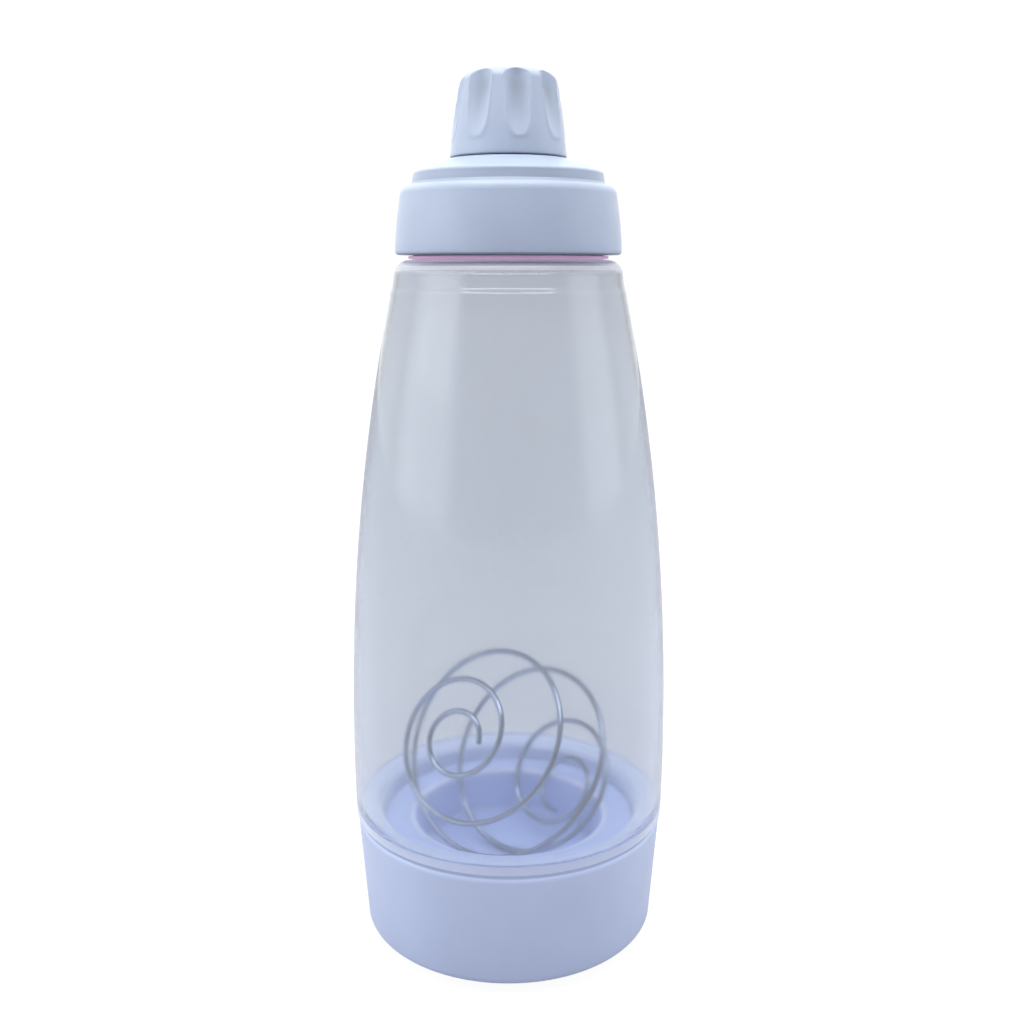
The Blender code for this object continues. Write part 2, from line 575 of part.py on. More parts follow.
def overcap(collection):
    """The fluted cap that screws down over the nozzle."""
    material = make_material("cap_plastic", (0.66, 0.73, 0.88), 0.40)
    side_top = OVERCAP_END - OVERCAP_FILLET
    top_radius = overcap_radius(side_top)
    skirt_end = OVERCAP_FOOT + OVERCAP_SKIRT
    heights = [side_top + (OVERCAP_FOOT + FINE_EDGE - side_top) * i / 4 for i in range(1, 5)]
    outline = [(0.0, OVERCAP_END)]
    flat_radius = top_radius - OVERCAP_FILLET_WIDTH
    outline += arc(flat_radius, side_top, OVERCAP_FILLET_WIDTH, OVERCAP_FILLET, 90.0, 10.0, 5)
    outline += [(overcap_radius(z), z) for z in heights]
    outline += [(OVERCAP_RADIUS - FINE_EDGE, OVERCAP_FOOT), (OVERCAP_BORE, OVERCAP_FOOT)]
    outline += [(OVERCAP_BORE, skirt_end)]
    outline += [(LINER_BORE, skirt_end + OVERCAP_BORE - LINER_BORE), (LINER_BORE, OVERCAP_CEILING)]
    outline += [(0.0, OVERCAP_CEILING)]
    cap = turned("overcap", outline, False, OVERCAP_FOOT, material, collection, SMALL_SEGMENTS)
    combine(cap, flute_cutters(), "DIFFERENCE")
    ridge = thread_ridge("overcap_thread", OVERCAP_BORE, -1, CAP_THREAD_START, CAP_LEAD, CAP_RIDGE,
                         SMALL_SEGMENTS)
    ridge.location.z = COLLAR_FOOT
    combine(cap, ridge, "UNION")
    settle(cap)
    return cap


def cap_liner(collection):
    """The soft disc in the cap that closes the nozzle's mouth."""
    material = make_material("liner_foam", (0.80, 0.80, 0.80), 0.60)
    outline = [(0.0, LINER_TOP), (LINER_RADIUS, LINER_TOP), (LINER_RADIUS, LINER_FOOT), (0.0, LINER_FOOT)]
    piece = turned("cap_liner", outline, False, LINER_FOOT, material, collection, SMALL_SEGMENTS)
    settle(piece)
    return piece


def whisk_point(share):
    """A point of the whisk's wire about the ball's middle, with share running from 0 to 1."""
    elevation = POLE_ELEVATION + POLE_TURN_ELEVATION * (share - 0.5)
    azimuth = POLE_AZIMUTH + POLE_TURN_AZIMUTH * (share - 0.5)
    pole = Vector((math.sin(azimuth) * math.cos(elevation), -math.cos(azimuth) * math.cos(elevation),
                   math.sin(elevation)))
    side = Vector((0.0, 0.0, 1.0)).cross(pole).normalized()
    up = pole.cross(side)
    swell = PITCH_SWELL * math.sin(math.tau * share) / math.tau
    skew = PITCH_SKEW * math.sin(2.0 * math.tau * share) / (2.0 * math.tau)
    around = BALL_PHASE + math.tau * BALL_TURNS * share
    down = BALL_START + (BALL_END - BALL_START) * (share - swell - skew)
    down += LOOP_TILT * math.cos(around - LOOP_TILT_PHASE)
    radius = BALL_RADIUS - WIRE_DIAMETER / 2.0
    along = BALL_STRETCH * math.cos(down) * pole
    across = math.sin(down) * (math.cos(around) * side + math.sin(around) * up)
    return radius * (along + across)


def ball_rest_height(points):
    """Height of the ball's middle when its lowest loops rest on the well's floor, corner or rim."""
    reach = WIRE_DIAMETER / 2.0 + SEAT_GAP
    corner = max(0.0, WELL_FILLET - reach)
    height = 0.0
    for point in points:
        from_axis = math.hypot(point.x - BALL_OFFSET, point.y)
        into_corner = max(0.0, from_axis - (WELL_RADIUS - reach - corner))
        if into_corner > corner:
            lowest = SHELF + reach
        else:
            lowest = WELL_FLOOR + reach + corner - math.sqrt(corner ** 2 - into_corner ** 2)
        height = max(height, lowest - point.z)
    return height


def whisk_ball(collection):
    """One steel wire wound into an open ball, loose in the bottle and lying in the well."""
    material = make_material("steel_wire", (0.62, 0.62, 0.63), 0.22, 1.0)
    count = round(BALL_TURNS * POINTS_PER_LOOP)
    points = [whisk_point(i / count) for i in range(count + 1)]
    middle = Vector((-BALL_OFFSET, 0.0, ball_rest_height(points)))
    curve = wire_curve("whisk_ball", points, WIRE_DIAMETER, 1, collection)
    curve.location = middle
    ball = mesh_from_curve(curve, collection)
    ball.data.materials.clear()
    ball.data.materials.append(material)
    ball.data.shade_smooth()
    half_loop = POINTS_PER_LOOP // 2
    pairs = [(i, j) for i in range(count + 1) for j in range(i + half_loop, count + 1)]
    gap = min((points[i] - points[j]).length for i, j in pairs) - WIRE_DIAMETER
    print("whisk ball: least gap between loops %.2f mm" % (1000.0 * gap))
    print("whisk ball: middle at height %.2f mm" % (1000.0 * middle.z))
    return ball


for old in list(bpy.data.objects):
    bpy.data.objects.remove(old)

PARTS = fresh_collection("squeeze_bottle")
CUTTERS = fresh_collection("cutters")

cup = base_cup(PARTS)
tray = base_tray(PARTS)
seal = base_seal(PARTS)
shell = bottle_shell(PARTS)
neck_seal = lid_seal(PARTS)
screw_lid = lid(PARTS)
nozzle = spout(PARTS)
retainer = spout_retainer(PARTS)
fluted_cap = overcap(PARTS)
liner = cap_liner(PARTS)
ball = whisk_ball(PARTS)
bpy.context.view_layer.update()

for carrier, pieces in ((cup, (tray, seal, ball)), (seal, (shell,)), (shell, (neck_seal,)),
                        (neck_seal, (screw_lid,)), (screw_lid, (nozzle, retainer, liner)),
                        (liner, (fluted_cap,))):
    for piece in pieces:
        carry(carrier, piece)
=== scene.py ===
"""Looks of the squeeze bottle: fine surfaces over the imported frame, materials, light and camera.

Metres, +Z up, origin at the middle of the foot, and the photograph looks along +Y.
"""
import math

import bpy
import bmesh
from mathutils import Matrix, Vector


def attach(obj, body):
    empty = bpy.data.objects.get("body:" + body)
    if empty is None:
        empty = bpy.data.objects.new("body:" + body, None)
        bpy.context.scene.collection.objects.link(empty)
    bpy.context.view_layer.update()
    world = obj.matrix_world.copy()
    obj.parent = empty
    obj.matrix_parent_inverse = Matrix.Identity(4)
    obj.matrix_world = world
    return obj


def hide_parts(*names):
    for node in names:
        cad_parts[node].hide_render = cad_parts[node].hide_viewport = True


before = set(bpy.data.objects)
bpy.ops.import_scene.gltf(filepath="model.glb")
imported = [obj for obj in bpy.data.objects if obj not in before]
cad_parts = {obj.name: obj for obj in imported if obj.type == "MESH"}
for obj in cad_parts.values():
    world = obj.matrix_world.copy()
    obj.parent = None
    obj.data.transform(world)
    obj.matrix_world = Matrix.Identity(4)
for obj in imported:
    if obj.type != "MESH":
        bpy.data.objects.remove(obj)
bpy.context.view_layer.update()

# Sizes of the bottle, as in its source
SEAT_GAP = 0.0003
SLIDE_GAP = 0.0003
THREAD_GAP = 0.0004

CUP_HEIGHT = 0.0347
FOOT_EDGE_WIDTH = 0.0078
FOOT_EDGE_HEIGHT = 0.0038
FOOT_RING_HEIGHT = 0.0012
FOOT_RING_WIDTH = 0.0050
FOOT_RECESS = 0.0014
CUP_FLOOR = 0.0016
RIM_INSET = 0.0004
CUP_FLARE = 0.0021
LEDGE_WIDTH = 0.0021
LEDGE_DROP = 0.0046

TRAY_WALL = 0.0016
SHELF_DROP = 0.0027
SHELF_WIDTH = 0.0088
WELL_DEPTH = 0.0130
WELL_FILLET = 0.0020
TRAY_FLANGE = 0.0020

BELLY_RADIUS = 0.0427
BELLY_HEIGHT = 0.0170
SEAM_INSET = 0.0003
BODY_HEIGHT = 0.1487
BODY_DRAW = 2.1
SHELL_WALL = 0.0014
SHOULDER_WIDTH = 0.0052
SHOULDER_FLAT = 0.0013
SHOULDER_DROP = 0.0048
STEP_WIDTH = 0.0049
SPIGOT_LENGTH = 0.0132
SPIGOT_WALL = 0.0021

NECK_RADIUS = 0.0243
NECK_HEIGHT = 0.0159
NECK_WALL = 0.0016

LID_SEAL_HEIGHT = 0.0007
LID_SEAL_WIDTH = 0.0009
BASE_SEAL_WIDTH = 0.0031

LID_WALL = 0.0029
LID_TAPER = 0.0014
LID_CURVE = 1.6
LID_TOP = 0.0020
LID_TOP_FILLET = 0.0026
LID_FOOT_EDGE = 0.0009
LID_CORNER = 0.0016
STEP_FILLET = 0.0009
STEP_INSET = 0.0034
STEP_RISE = 0.0034
SLOPE_RISE = 0.0030
PLUG_DEPTH = 0.0035
PLUG_WALL = 0.0015

COLLAR_RADIUS = 0.0098
COLLAR_HEIGHT = 0.0088
COLLAR_WALL = 0.0018
NOZZLE_WALL = 0.0014
NOZZLE_NECK_RISE = 0.0003
NOZZLE_LIP = 0.0020
NOZZLE_TIP_RADIUS = 0.0046
NOZZLE_MOUTH_RADIUS = 0.0031
NOZZLE_FLANGE = 0.0015
NOZZLE_FLANGE_WIDTH = 0.0055
RETAINER_HEIGHT = 0.0017
RETAINER_WIDTH = 0.0039
CLIP_WALL = 0.0014
CLIP_BEAD = 0.0005
CLIP_BEAD_FOOT = 0.0004
CLIP_BEAD_TOP = 0.0007
CLIP_DROP = 0.0012

OVERCAP_HEIGHT = 0.0207
OVERCAP_WALL = 0.0038
OVERCAP_TAPER = 0.0025
OVERCAP_STRAIGHTNESS = 0.75
OVERCAP_FILLET = 0.0034
OVERCAP_FILLET_WIDTH = 0.0047
OVERCAP_TOP = 0.0029
OVERCAP_SKIRT = 0.0092
LINER_THICKNESS = 0.0012
LINER_RADIUS = 0.0081
FLUTE_COUNT = 8
FLUTE_DEPTH = 0.0024
FLUTE_LENGTH = 0.0165
FLUTE_PHASE = math.radians(-79.0)
FLUTE_HALF_WIDTH = 0.0034
FLUTE_EDGE = 0.0004
FLUTE_LIP = 0.00016
FLUTE_ROUND_SHARE = 0.32
FLUTE_TOP_FADE = 0.0050
FLUTE_TOP_LOSS = 0.45
FLUTE_END_WIDTH = 0.82
FLUTE_WIDENING = 0.18
FLUTE_FOOT_SHARE = 0.001
FLUTE_FOOT_SLOPE = 3.0
FLUTE_FOOT_SPREAD = 0.24

THREAD_TURNS = 1.5
RIDGE_ROOT = 0.0002
RIDGE_END = 0.1
RIDGE_RUN_OUT_PARTS = 10
BASE_LEAD = 0.0040
BASE_RIDGE = 0.0011
BASE_THREAD_START = 0.0030
LID_LEAD = 0.0040
LID_RIDGE = 0.0012
LID_THREAD_START = 0.0062
CAP_LEAD = 0.0030
CAP_RIDGE = 0.0007
CAP_THREAD_START = 0.0031

WIRE_DIAMETER = 0.0015
BALL_RADIUS = 0.0292
BALL_OFFSET = 0.0006
BALL_TURNS = 5.87
BALL_START = math.radians(11.7)
BALL_END = math.radians(165.6)
BALL_PHASE = math.radians(319.8)
BALL_STRETCH = 1.04
POLE_ELEVATION = math.radians(33.5)
POLE_AZIMUTH = math.radians(-41.4)
POLE_TURN_ELEVATION = math.radians(8.7)
POLE_TURN_AZIMUTH = math.radians(-19.7)
PITCH_SWELL = 0.63
PITCH_SKEW = 0.20
LOOP_TILT = math.radians(2.5)
LOOP_TILT_PHASE = math.radians(-5.7)
COARSE_LOOP = 24
POINTS_PER_LOOP = 72

# Fineness
SEGMENTS = 160
CAP_SEGMENTS = 256
SMALL_SEGMENTS = 96
SOFT_EDGE = 0.0003
SOFT_EDGE_TURN = math.radians(24.0)
SOFT_EDGE_SHARE = 0.4
SHARP_ANGLE = math.radians(50.0)
MERGE_DISTANCE = 0.000002
WELD_DISTANCE = 0.000004

# Fine shapes that the source leaves plain
LIP_ROUND = 0.0012
LIP_DROP = 0.0004
CREASE_DROP = 0.0071
CREASE_REACH = 0.0012
CREASE_DEPTH = 0.00018
CREASE_ZONE = 2.5
FROST_RISE = 0.0025
WIRE_TRIM = 0.018
WIRE_END = 0.0004
WIRE_END_RADII = (0.45, 0.85)
MEAN_LOOP = 0.75

# Heights and radii that follow
SEAM = CUP_HEIGHT + SEAT_GAP
SEAM_RADIUS = BELLY_RADIUS - SEAM_INSET
SPIGOT_RADIUS = SEAM_RADIUS - STEP_WIDTH
SPIGOT_END = SEAM - SPIGOT_LENGTH
SPIGOT_BORE = SPIGOT_RADIUS - SPIGOT_WALL
CUP_BORE = SPIGOT_RADIUS + BASE_RIDGE + THREAD_GAP
CUP_LEDGE = SPIGOT_END - LEDGE_DROP
TRAY_FOOT = CUP_LEDGE + SEAT_GAP
FLANGE_TOP = TRAY_FOOT + TRAY_FLANGE
BASE_SEAL_FOOT = FLANGE_TOP + SEAT_GAP
BASE_SEAL_TOP = SPIGOT_END - SEAT_GAP
PLUG_RADIUS = SPIGOT_BORE - THREAD_GAP
SHELF = CUP_HEIGHT - SHELF_DROP
WELL_RADIUS = PLUG_RADIUS - SHELF_WIDTH
WELL_FLOOR = SHELF - WELL_DEPTH

SHOULDER = SEAM + BODY_HEIGHT
BELLY = SEAM + BELLY_HEIGHT
SHOULDER_RADIUS = NECK_RADIUS + SHOULDER_WIDTH
SHOULDER_FOOT = SHOULDER - SHOULDER_DROP
NECK_BORE = NECK_RADIUS - NECK_WALL
MOUTH = SHOULDER + NECK_HEIGHT

LID_SEAL_FOOT = SHOULDER + SEAT_GAP
LID_SEAL_TOP = LID_SEAL_FOOT + LID_SEAL_HEIGHT
LID_FOOT = LID_SEAL_TOP + SEAT_GAP
LID_BORE = NECK_RADIUS + LID_RIDGE + THREAD_GAP
LID_CEILING = MOUTH + SEAT_GAP
LID_RADIUS = LID_BORE + LID_WALL
LID_STEP = LID_CEILING + LID_TOP
STEP_RADIUS = LID_RADIUS - LID_TAPER - STEP_INSET
SLOPE_FOOT = LID_STEP + STEP_RISE
COLLAR_FOOT = SLOPE_FOOT + SLOPE_RISE
COLLAR_TOP = COLLAR_FOOT + COLLAR_HEIGHT
COLLAR_BORE = COLLAR_RADIUS - COLLAR_WALL
LID_UNDERSIDE = COLLAR_FOOT - LID_TOP
PLUG_RING_RADIUS = NECK_BORE - SLIDE_GAP
PLUG_RING_BORE = PLUG_RING_RADIUS - PLUG_WALL

NOZZLE_RADIUS = COLLAR_BORE - SLIDE_GAP
NOZZLE_FLANGE_RADIUS = NOZZLE_RADIUS + NOZZLE_FLANGE_WIDTH
NOZZLE_FLANGE_TOP = LID_UNDERSIDE - SEAT_GAP
NOZZLE_FOOT = NOZZLE_FLANGE_TOP - NOZZLE_FLANGE
RETAINER_TOP = NOZZLE_FOOT - SEAT_GAP
RETAINER_FOOT = RETAINER_TOP - RETAINER_HEIGHT
RETAINER_RADIUS = NOZZLE_FLANGE_RADIUS
CLIP_BORE = NOZZLE_FLANGE_RADIUS + SLIDE_GAP
CLIP_RADIUS = CLIP_BORE + CLIP_WALL

OVERCAP_FOOT = COLLAR_FOOT + SEAT_GAP
OVERCAP_END = OVERCAP_FOOT + OVERCAP_HEIGHT
OVERCAP_BORE = COLLAR_RADIUS + CAP_RIDGE + THREAD_GAP
OVERCAP_RADIUS = OVERCAP_BORE + OVERCAP_WALL
SLOPE_TOP_RADIUS = OVERCAP_RADIUS + 2.0 * SLIDE_GAP
OVERCAP_CEILING = OVERCAP_END - OVERCAP_TOP
LINER_TOP = OVERCAP_CEILING - SEAT_GAP
LINER_FOOT = LINER_TOP - LINER_THICKNESS
LINER_BORE = LINER_RADIUS + SLIDE_GAP
NOZZLE_TIP = LINER_FOOT - SEAT_GAP


# Shapes

PIECES = bpy.data.collections.new("looks")
bpy.context.scene.collection.children.link(PIECES)


def arc(centre_r, centre_z, width, height, start, end, steps):
    """Points of a round stretch of an outline, with angles in degrees from the outward direction."""
    points = []
    for i in range(steps + 1):
        angle = math.radians(start + (end - start) * i / steps)
        points.append((centre_r + width * math.cos(angle), centre_z + height * math.sin(angle)))
    return points


def round_arc(centre_r, centre_z, radius, start, end, steps):
    """A stretch of a circle."""
    return arc(centre_r, centre_z, radius, radius, start, end, steps)


def softened(outline, closed, radius=SOFT_EDGE, steps=3):
    """Round each sharp corner of an outline, as a mould does."""
    result = []
    last = len(outline) - 1
    for i, point in enumerate(outline):
        if not closed and i in (0, last):
            result.append(point)
            continue
        here = Vector(point)
        into = Vector(outline[i - 1]) - here
        out = Vector(outline[0 if i == last else i + 1]) - here
        turn = math.pi - into.angle(out)
        if turn < SOFT_EDGE_TURN:
            result.append(point)
            continue
        room = SOFT_EDGE_SHARE * min(into.length, out.length)
        reach = min(radius * math.tan(turn / 2.0), room)
        start = here + into.normalized() * reach
        end = here + out.normalized() * reach
        for k in range(steps + 1):
            t = k / steps
            place = start * (1 - t) ** 2 + here * (2 * t * (1 - t)) + end * t ** 2
            result.append((place.x, place.y))
    return result


def turned(name, outline, closed, segments=SEGMENTS, soft=SOFT_EDGE):
    """Turn an outline of (radius, height) points about Z. It runs down the outer side first."""
    outline = softened(outline, closed, soft)
    mesh = bpy.data.meshes.new(name)
    edges = [(i, i + 1) for i in range(len(outline) - 1)]
    if closed:
        edges.append((len(outline) - 1, 0))
    mesh.from_pydata([(r, 0.0, z) for r, z in outline], edges, [])
    piece = bpy.data.objects.new(name, mesh)
    PIECES.objects.link(piece)
    screw = piece.modifiers.new("Turn", "SCREW")
    screw.axis = "Z"
    screw.angle = math.tau
    screw.steps = segments
    screw.render_steps = segments
    screw.use_merge_vertices = True
    screw.merge_threshold = MERGE_DISTANCE
    screw.use_smooth_shade = True
    return piece


def wire_curve(name, points, diameter, resolution, radii=None):
    """A round wire along points, with closed ends."""
    data = bpy.data.curves.new(name, "CURVE")
    data.dimensions = "3D"
    data.twist_mode = "Z_UP"
    data.bevel_depth = diameter / 2.0
    data.bevel_resolution = resolution
    data.use_fill_caps = True
    spline = data.splines.new("POLY")
    spline.points.add(len(points) - 1)
    for i, point in enumerate(points):
        spline.points[i].co = (*point, 1.0)
        spline.points[i].radius = radii[i] if radii else 1.0
    piece = bpy.data.objects.new(name, data)
    PIECES.objects.link(piece)
    return piece


def mesh_from_curve(piece):
    """Replace a curve by its closed mesh, with the loose end caps welded on."""
    bpy.context.view_layer.update()
    solid = bpy.data.meshes.new_from_object(piece.evaluated_get(bpy.context.evaluated_depsgraph_get()))
    welder = bmesh.new()
    welder.from_mesh(solid)
    bmesh.ops.remove_doubles(welder, verts=welder.verts, dist=WELD_DISTANCE)
    bmesh.ops.recalc_face_normals(welder, faces=welder.faces)
    welder.to_mesh(solid)
    welder.free()
    name = piece.name
    bpy.data.objects.remove(piece)
    result = bpy.data.objects.new(name, solid)
    PIECES.objects.link(result)
    return result


def thread_ridge(wall, outward, start, lead, ridge, segments=SEGMENTS):
    """A V-shaped ridge that climbs to the right round a wall, and fades into it at both ends."""
    radius = wall - outward * RIDGE_ROOT
    count = round(THREAD_TURNS * segments)
    run_out = segments // RIDGE_RUN_OUT_PARTS
    points = []
    radii = []
    for i in range(count + 1):
        angle = math.tau * i / segments
        points.append((radius * math.cos(angle), radius * math.sin(angle), start + lead * i / segments))
        radii.append(min(1.0, RIDGE_END + (1.0 - RIDGE_END) * min(i, count - i) / run_out))
    return mesh_from_curve(wire_curve("ridge", points, 2.0 * (ridge + RIDGE_ROOT), 0, radii))


def settle(piece, ridges=()):
    """Join the thread ridges to a piece, apply its modifiers and shade it smooth."""
    for ridge in ridges:
        boolean = piece.modifiers.new("Join", "BOOLEAN")
        boolean.operation = "UNION"
        boolean.solver = "EXACT"
        boolean.object = ridge
    bpy.context.view_layer.update()
    shaped = bpy.data.meshes.new_from_object(piece.evaluated_get(bpy.context.evaluated_depsgraph_get()))
    piece.modifiers.clear()
    piece.data = shaped
    for ridge in ridges:
        bpy.data.objects.remove(ridge)
    shaped.shade_smooth()
    shaped.set_sharp_from_angle(angle=SHARP_ANGLE)
    return piece


def body_radius(height):
    """Outer radius of the bottle's body."""
    if height < BELLY:
        return BELLY_RADIUS - SEAM_INSET * ((BELLY - height) / BELLY_HEIGHT) ** 2
    share = (height - BELLY) / (SHOULDER_FOOT - BELLY)
    from_crease = (height - SHOULDER + CREASE_DROP) / CREASE_REACH
    crease = CREASE_DEPTH * from_crease * math.exp(-from_crease * from_crease)
    return BELLY_RADIUS - (BELLY_RADIUS - SHOULDER_RADIUS) * share ** BODY_DRAW - crease


def make_base_cup():
    """The outer cup of the base."""
    rim_radius = SEAM_RADIUS - RIM_INSET
    wall_foot = rim_radius - CUP_FLARE
    ring_outer = wall_foot - FOOT_EDGE_WIDTH
    ring_inner = ring_outer - FOOT_RING_WIDTH
    edge_middle = FOOT_RING_HEIGHT + FOOT_EDGE_HEIGHT
    ledge_bore = CUP_BORE - LEDGE_WIDTH
    floor_top = FOOT_RECESS + CUP_FLOOR
    edge = 0.0004
    outline = [(0.0, floor_top), (ledge_bore, floor_top), (ledge_bore, CUP_LEDGE), (CUP_BORE, CUP_LEDGE)]
    outline += [(CUP_BORE, CUP_HEIGHT), (rim_radius - LIP_ROUND - LIP_DROP, CUP_HEIGHT)]
    outline += round_arc(rim_radius - LIP_ROUND, CUP_HEIGHT - LIP_DROP - LIP_ROUND, LIP_ROUND, 90.0, 0.0, 8)
    outline += arc(ring_outer, edge_middle, FOOT_EDGE_WIDTH, FOOT_EDGE_HEIGHT, 0.0, -90.0, 20)
    outline += [(ring_outer - edge, FOOT_RING_HEIGHT - edge), (ring_outer - edge, 0.0)]
    outline += [(ring_inner, 0.0), (ring_inner - FOOT_RECESS, FOOT_RECESS), (0.0, FOOT_RECESS)]
    start = SPIGOT_END + BASE_THREAD_START + BASE_LEAD / 2.0
    ridge = thread_ridge(CUP_BORE, -1, start, BASE_LEAD, BASE_RIDGE)
    return settle(turned("cup_looks", outline, False), [ridge])


def make_base_tray():
    """The inner floor with its shelf and well."""
    flange_radius = CUP_BORE - THREAD_GAP
    inner_plug = PLUG_RADIUS - TRAY_WALL
    outer_well = WELL_RADIUS + TRAY_WALL
    outline = [(0.0, WELL_FLOOR)]
    outline += round_arc(WELL_RADIUS - WELL_FILLET, WELL_FLOOR + WELL_FILLET, WELL_FILLET, -90.0, 0.0, 8)
    outline += [(WELL_RADIUS, SHELF), (PLUG_RADIUS, SHELF)]
    outline += [(PLUG_RADIUS, FLANGE_TOP), (flange_radius, FLANGE_TOP), (flange_radius, TRAY_FOOT)]
    outline += [(inner_plug, TRAY_FOOT), (inner_plug, SHELF - TRAY_WALL), (outer_well, SHELF - TRAY_WALL)]
    outline += [(outer_well, WELL_FLOOR + WELL_FILLET), (outer_well - WELL_FILLET, WELL_FLOOR - TRAY_WALL)]
    outline += [(0.0, WELL_FLOOR - TRAY_WALL)]
    return settle(turned("tray_looks", outline, False, soft=0.0008))


def make_ring(name, inner, outer, foot, top, soft):
    """A soft ring with rounded edges."""
    return settle(turned(name, [(inner, top), (outer, top), (outer, foot), (inner, foot)], True, soft=soft))


def make_shell():
    """The clear body in one even wall."""
    edge = 0.0003
    dome = SHOULDER_WIDTH - SHOULDER_FLAT
    corner = NECK_RADIUS + SHOULDER_FLAT
    body_steps = 48
    crease_steps = 20
    crease_end = SHOULDER - CREASE_DROP - CREASE_ZONE * CREASE_REACH
    heights = [SHOULDER_FOOT + (crease_end - SHOULDER_FOOT) * i / crease_steps for i in range(crease_steps)]
    heights += [crease_end + (SEAM + 2.0 * SHELL_WALL - crease_end) * i / body_steps
                for i in range(body_steps + 1)]
    outline = [(NECK_BORE, MOUTH), (NECK_RADIUS, MOUTH), (NECK_RADIUS, SHOULDER)]
    outline += arc(corner, SHOULDER_FOOT, dome, SHOULDER_DROP, 90.0, 10.0, 16)
    outline += [(body_radius(z), z) for z in heights]
    outline += [(body_radius(SEAM + FROST_RISE), SEAM + FROST_RISE)]
    outline += [(SEAM_RADIUS, SEAM), (SPIGOT_RADIUS, SEAM)]
    outline += [(SPIGOT_RADIUS, SPIGOT_END), (SPIGOT_BORE, SPIGOT_END), (SPIGOT_BORE, SEAM + edge)]
    outline += [(SPIGOT_BORE + SHELL_WALL, SEAM + SHELL_WALL)]
    outline += round_arc(SEAM_RADIUS - 2.0 * SHELL_WALL, SEAM + 2.0 * SHELL_WALL, SHELL_WALL, -90.0, -10.0, 6)
    outline += [(body_radius(z) - SHELL_WALL, z) for z in reversed(heights)]
    outline += arc(corner, SHOULDER_FOOT, dome - SHELL_WALL, SHOULDER_DROP - SHELL_WALL, 10.0, 90.0, 12)
    outline += [(NECK_BORE, SHOULDER - SHELL_WALL)]
    spigot = thread_ridge(SPIGOT_RADIUS, 1, SPIGOT_END + BASE_THREAD_START, BASE_LEAD, BASE_RIDGE)
    neck = thread_ridge(NECK_RADIUS, 1, SHOULDER + LID_THREAD_START + LID_LEAD / 2.0, LID_LEAD, LID_RIDGE)
    return settle(turned("shell_looks", outline, True), [spigot, neck])


def make_lid():
    """The stepped screw lid."""
    edge = 0.0003
    skirt_top = LID_RADIUS - LID_TAPER
    skirt_round_foot = LID_STEP - LID_TOP_FILLET
    skirt_steps = 8
    clip_foot = RETAINER_FOOT - CLIP_DROP
    outline = [(COLLAR_BORE, COLLAR_TOP), (COLLAR_RADIUS, COLLAR_TOP), (COLLAR_RADIUS, COLLAR_FOOT)]
    outline += [(SLOPE_TOP_RADIUS, COLLAR_FOOT)]
    outline += round_arc(STEP_RADIUS - STEP_FILLET, SLOPE_FOOT - STEP_FILLET, STEP_FILLET, 76.0, 0.0, 8)
    outline += [(STEP_RADIUS + edge, LID_STEP + 2.0 * edge), (STEP_RADIUS + 3.0 * edge, LID_STEP)]
    outline += round_arc(skirt_top - LID_TOP_FILLET, skirt_round_foot, LID_TOP_FILLET, 90.0, 4.0, 14)
    for i in range(1, skirt_steps):
        share = i / skirt_steps
        height = skirt_round_foot + (LID_FOOT + LID_FOOT_EDGE - skirt_round_foot) * share
        outline.append((skirt_top + LID_TAPER * (1.0 - (1.0 - share) ** LID_CURVE), height))
    outline += round_arc(LID_RADIUS - LID_FOOT_EDGE, LID_FOOT + LID_FOOT_EDGE, LID_FOOT_EDGE, 0.0, -90.0, 6)
    outline += [(LID_BORE, LID_FOOT), (LID_BORE, LID_CEILING - LID_CORNER)]
    outline += [(LID_BORE - LID_CORNER / 2.0, LID_CEILING), (PLUG_RING_RADIUS, LID_CEILING)]
    outline += [(PLUG_RING_RADIUS, LID_CEILING - PLUG_DEPTH + edge)]
    outline += [(PLUG_RING_RADIUS - edge, LID_CEILING - PLUG_DEPTH)]
    outline += [(PLUG_RING_BORE, LID_CEILING - PLUG_DEPTH), (PLUG_RING_BORE, SLOPE_FOOT - LID_TOP)]
    outline += [(CLIP_RADIUS, LID_UNDERSIDE), (CLIP_RADIUS, clip_foot), (CLIP_BORE, clip_foot)]
    outline += [(CLIP_BORE - CLIP_BEAD, clip_foot + CLIP_BEAD_FOOT)]
    outline += [(CLIP_BORE - CLIP_BEAD, clip_foot + CLIP_BEAD_TOP)]
    outline += [(CLIP_BORE, RETAINER_FOOT), (CLIP_BORE, LID_UNDERSIDE), (COLLAR_BORE, LID_UNDERSIDE)]
    skirt = thread_ridge(LID_BORE, -1, SHOULDER + LID_THREAD_START, LID_LEAD, LID_RIDGE)
    collar_start = COLLAR_FOOT + CAP_THREAD_START + CAP_LEAD / 2.0
    collar = thread_ridge(COLLAR_RADIUS, 1, collar_start, CAP_LEAD, CAP_RIDGE)
    return settle(turned("lid_looks", outline, True, soft=0.0002), [skirt, collar])


def make_spout():
    """The soft nozzle."""
    bore = NOZZLE_RADIUS - NOZZLE_WALL
    outline = [(NOZZLE_MOUTH_RADIUS, NOZZLE_TIP), (NOZZLE_TIP_RADIUS, NOZZLE_TIP)]
    outline += [(NOZZLE_RADIUS, COLLAR_TOP + NOZZLE_NECK_RISE), (NOZZLE_RADIUS, NOZZLE_FLANGE_TOP)]
    outline += [(NOZZLE_FLANGE_RADIUS, NOZZLE_FLANGE_TOP), (NOZZLE_FLANGE_RADIUS, NOZZLE_FOOT)]
    outline += [(bore, NOZZLE_FOOT), (bore, COLLAR_TOP), (NOZZLE_MOUTH_RADIUS, NOZZLE_TIP - NOZZLE_LIP)]
    return settle(turned("spout_looks", outline, True, segments=SMALL_SEGMENTS))


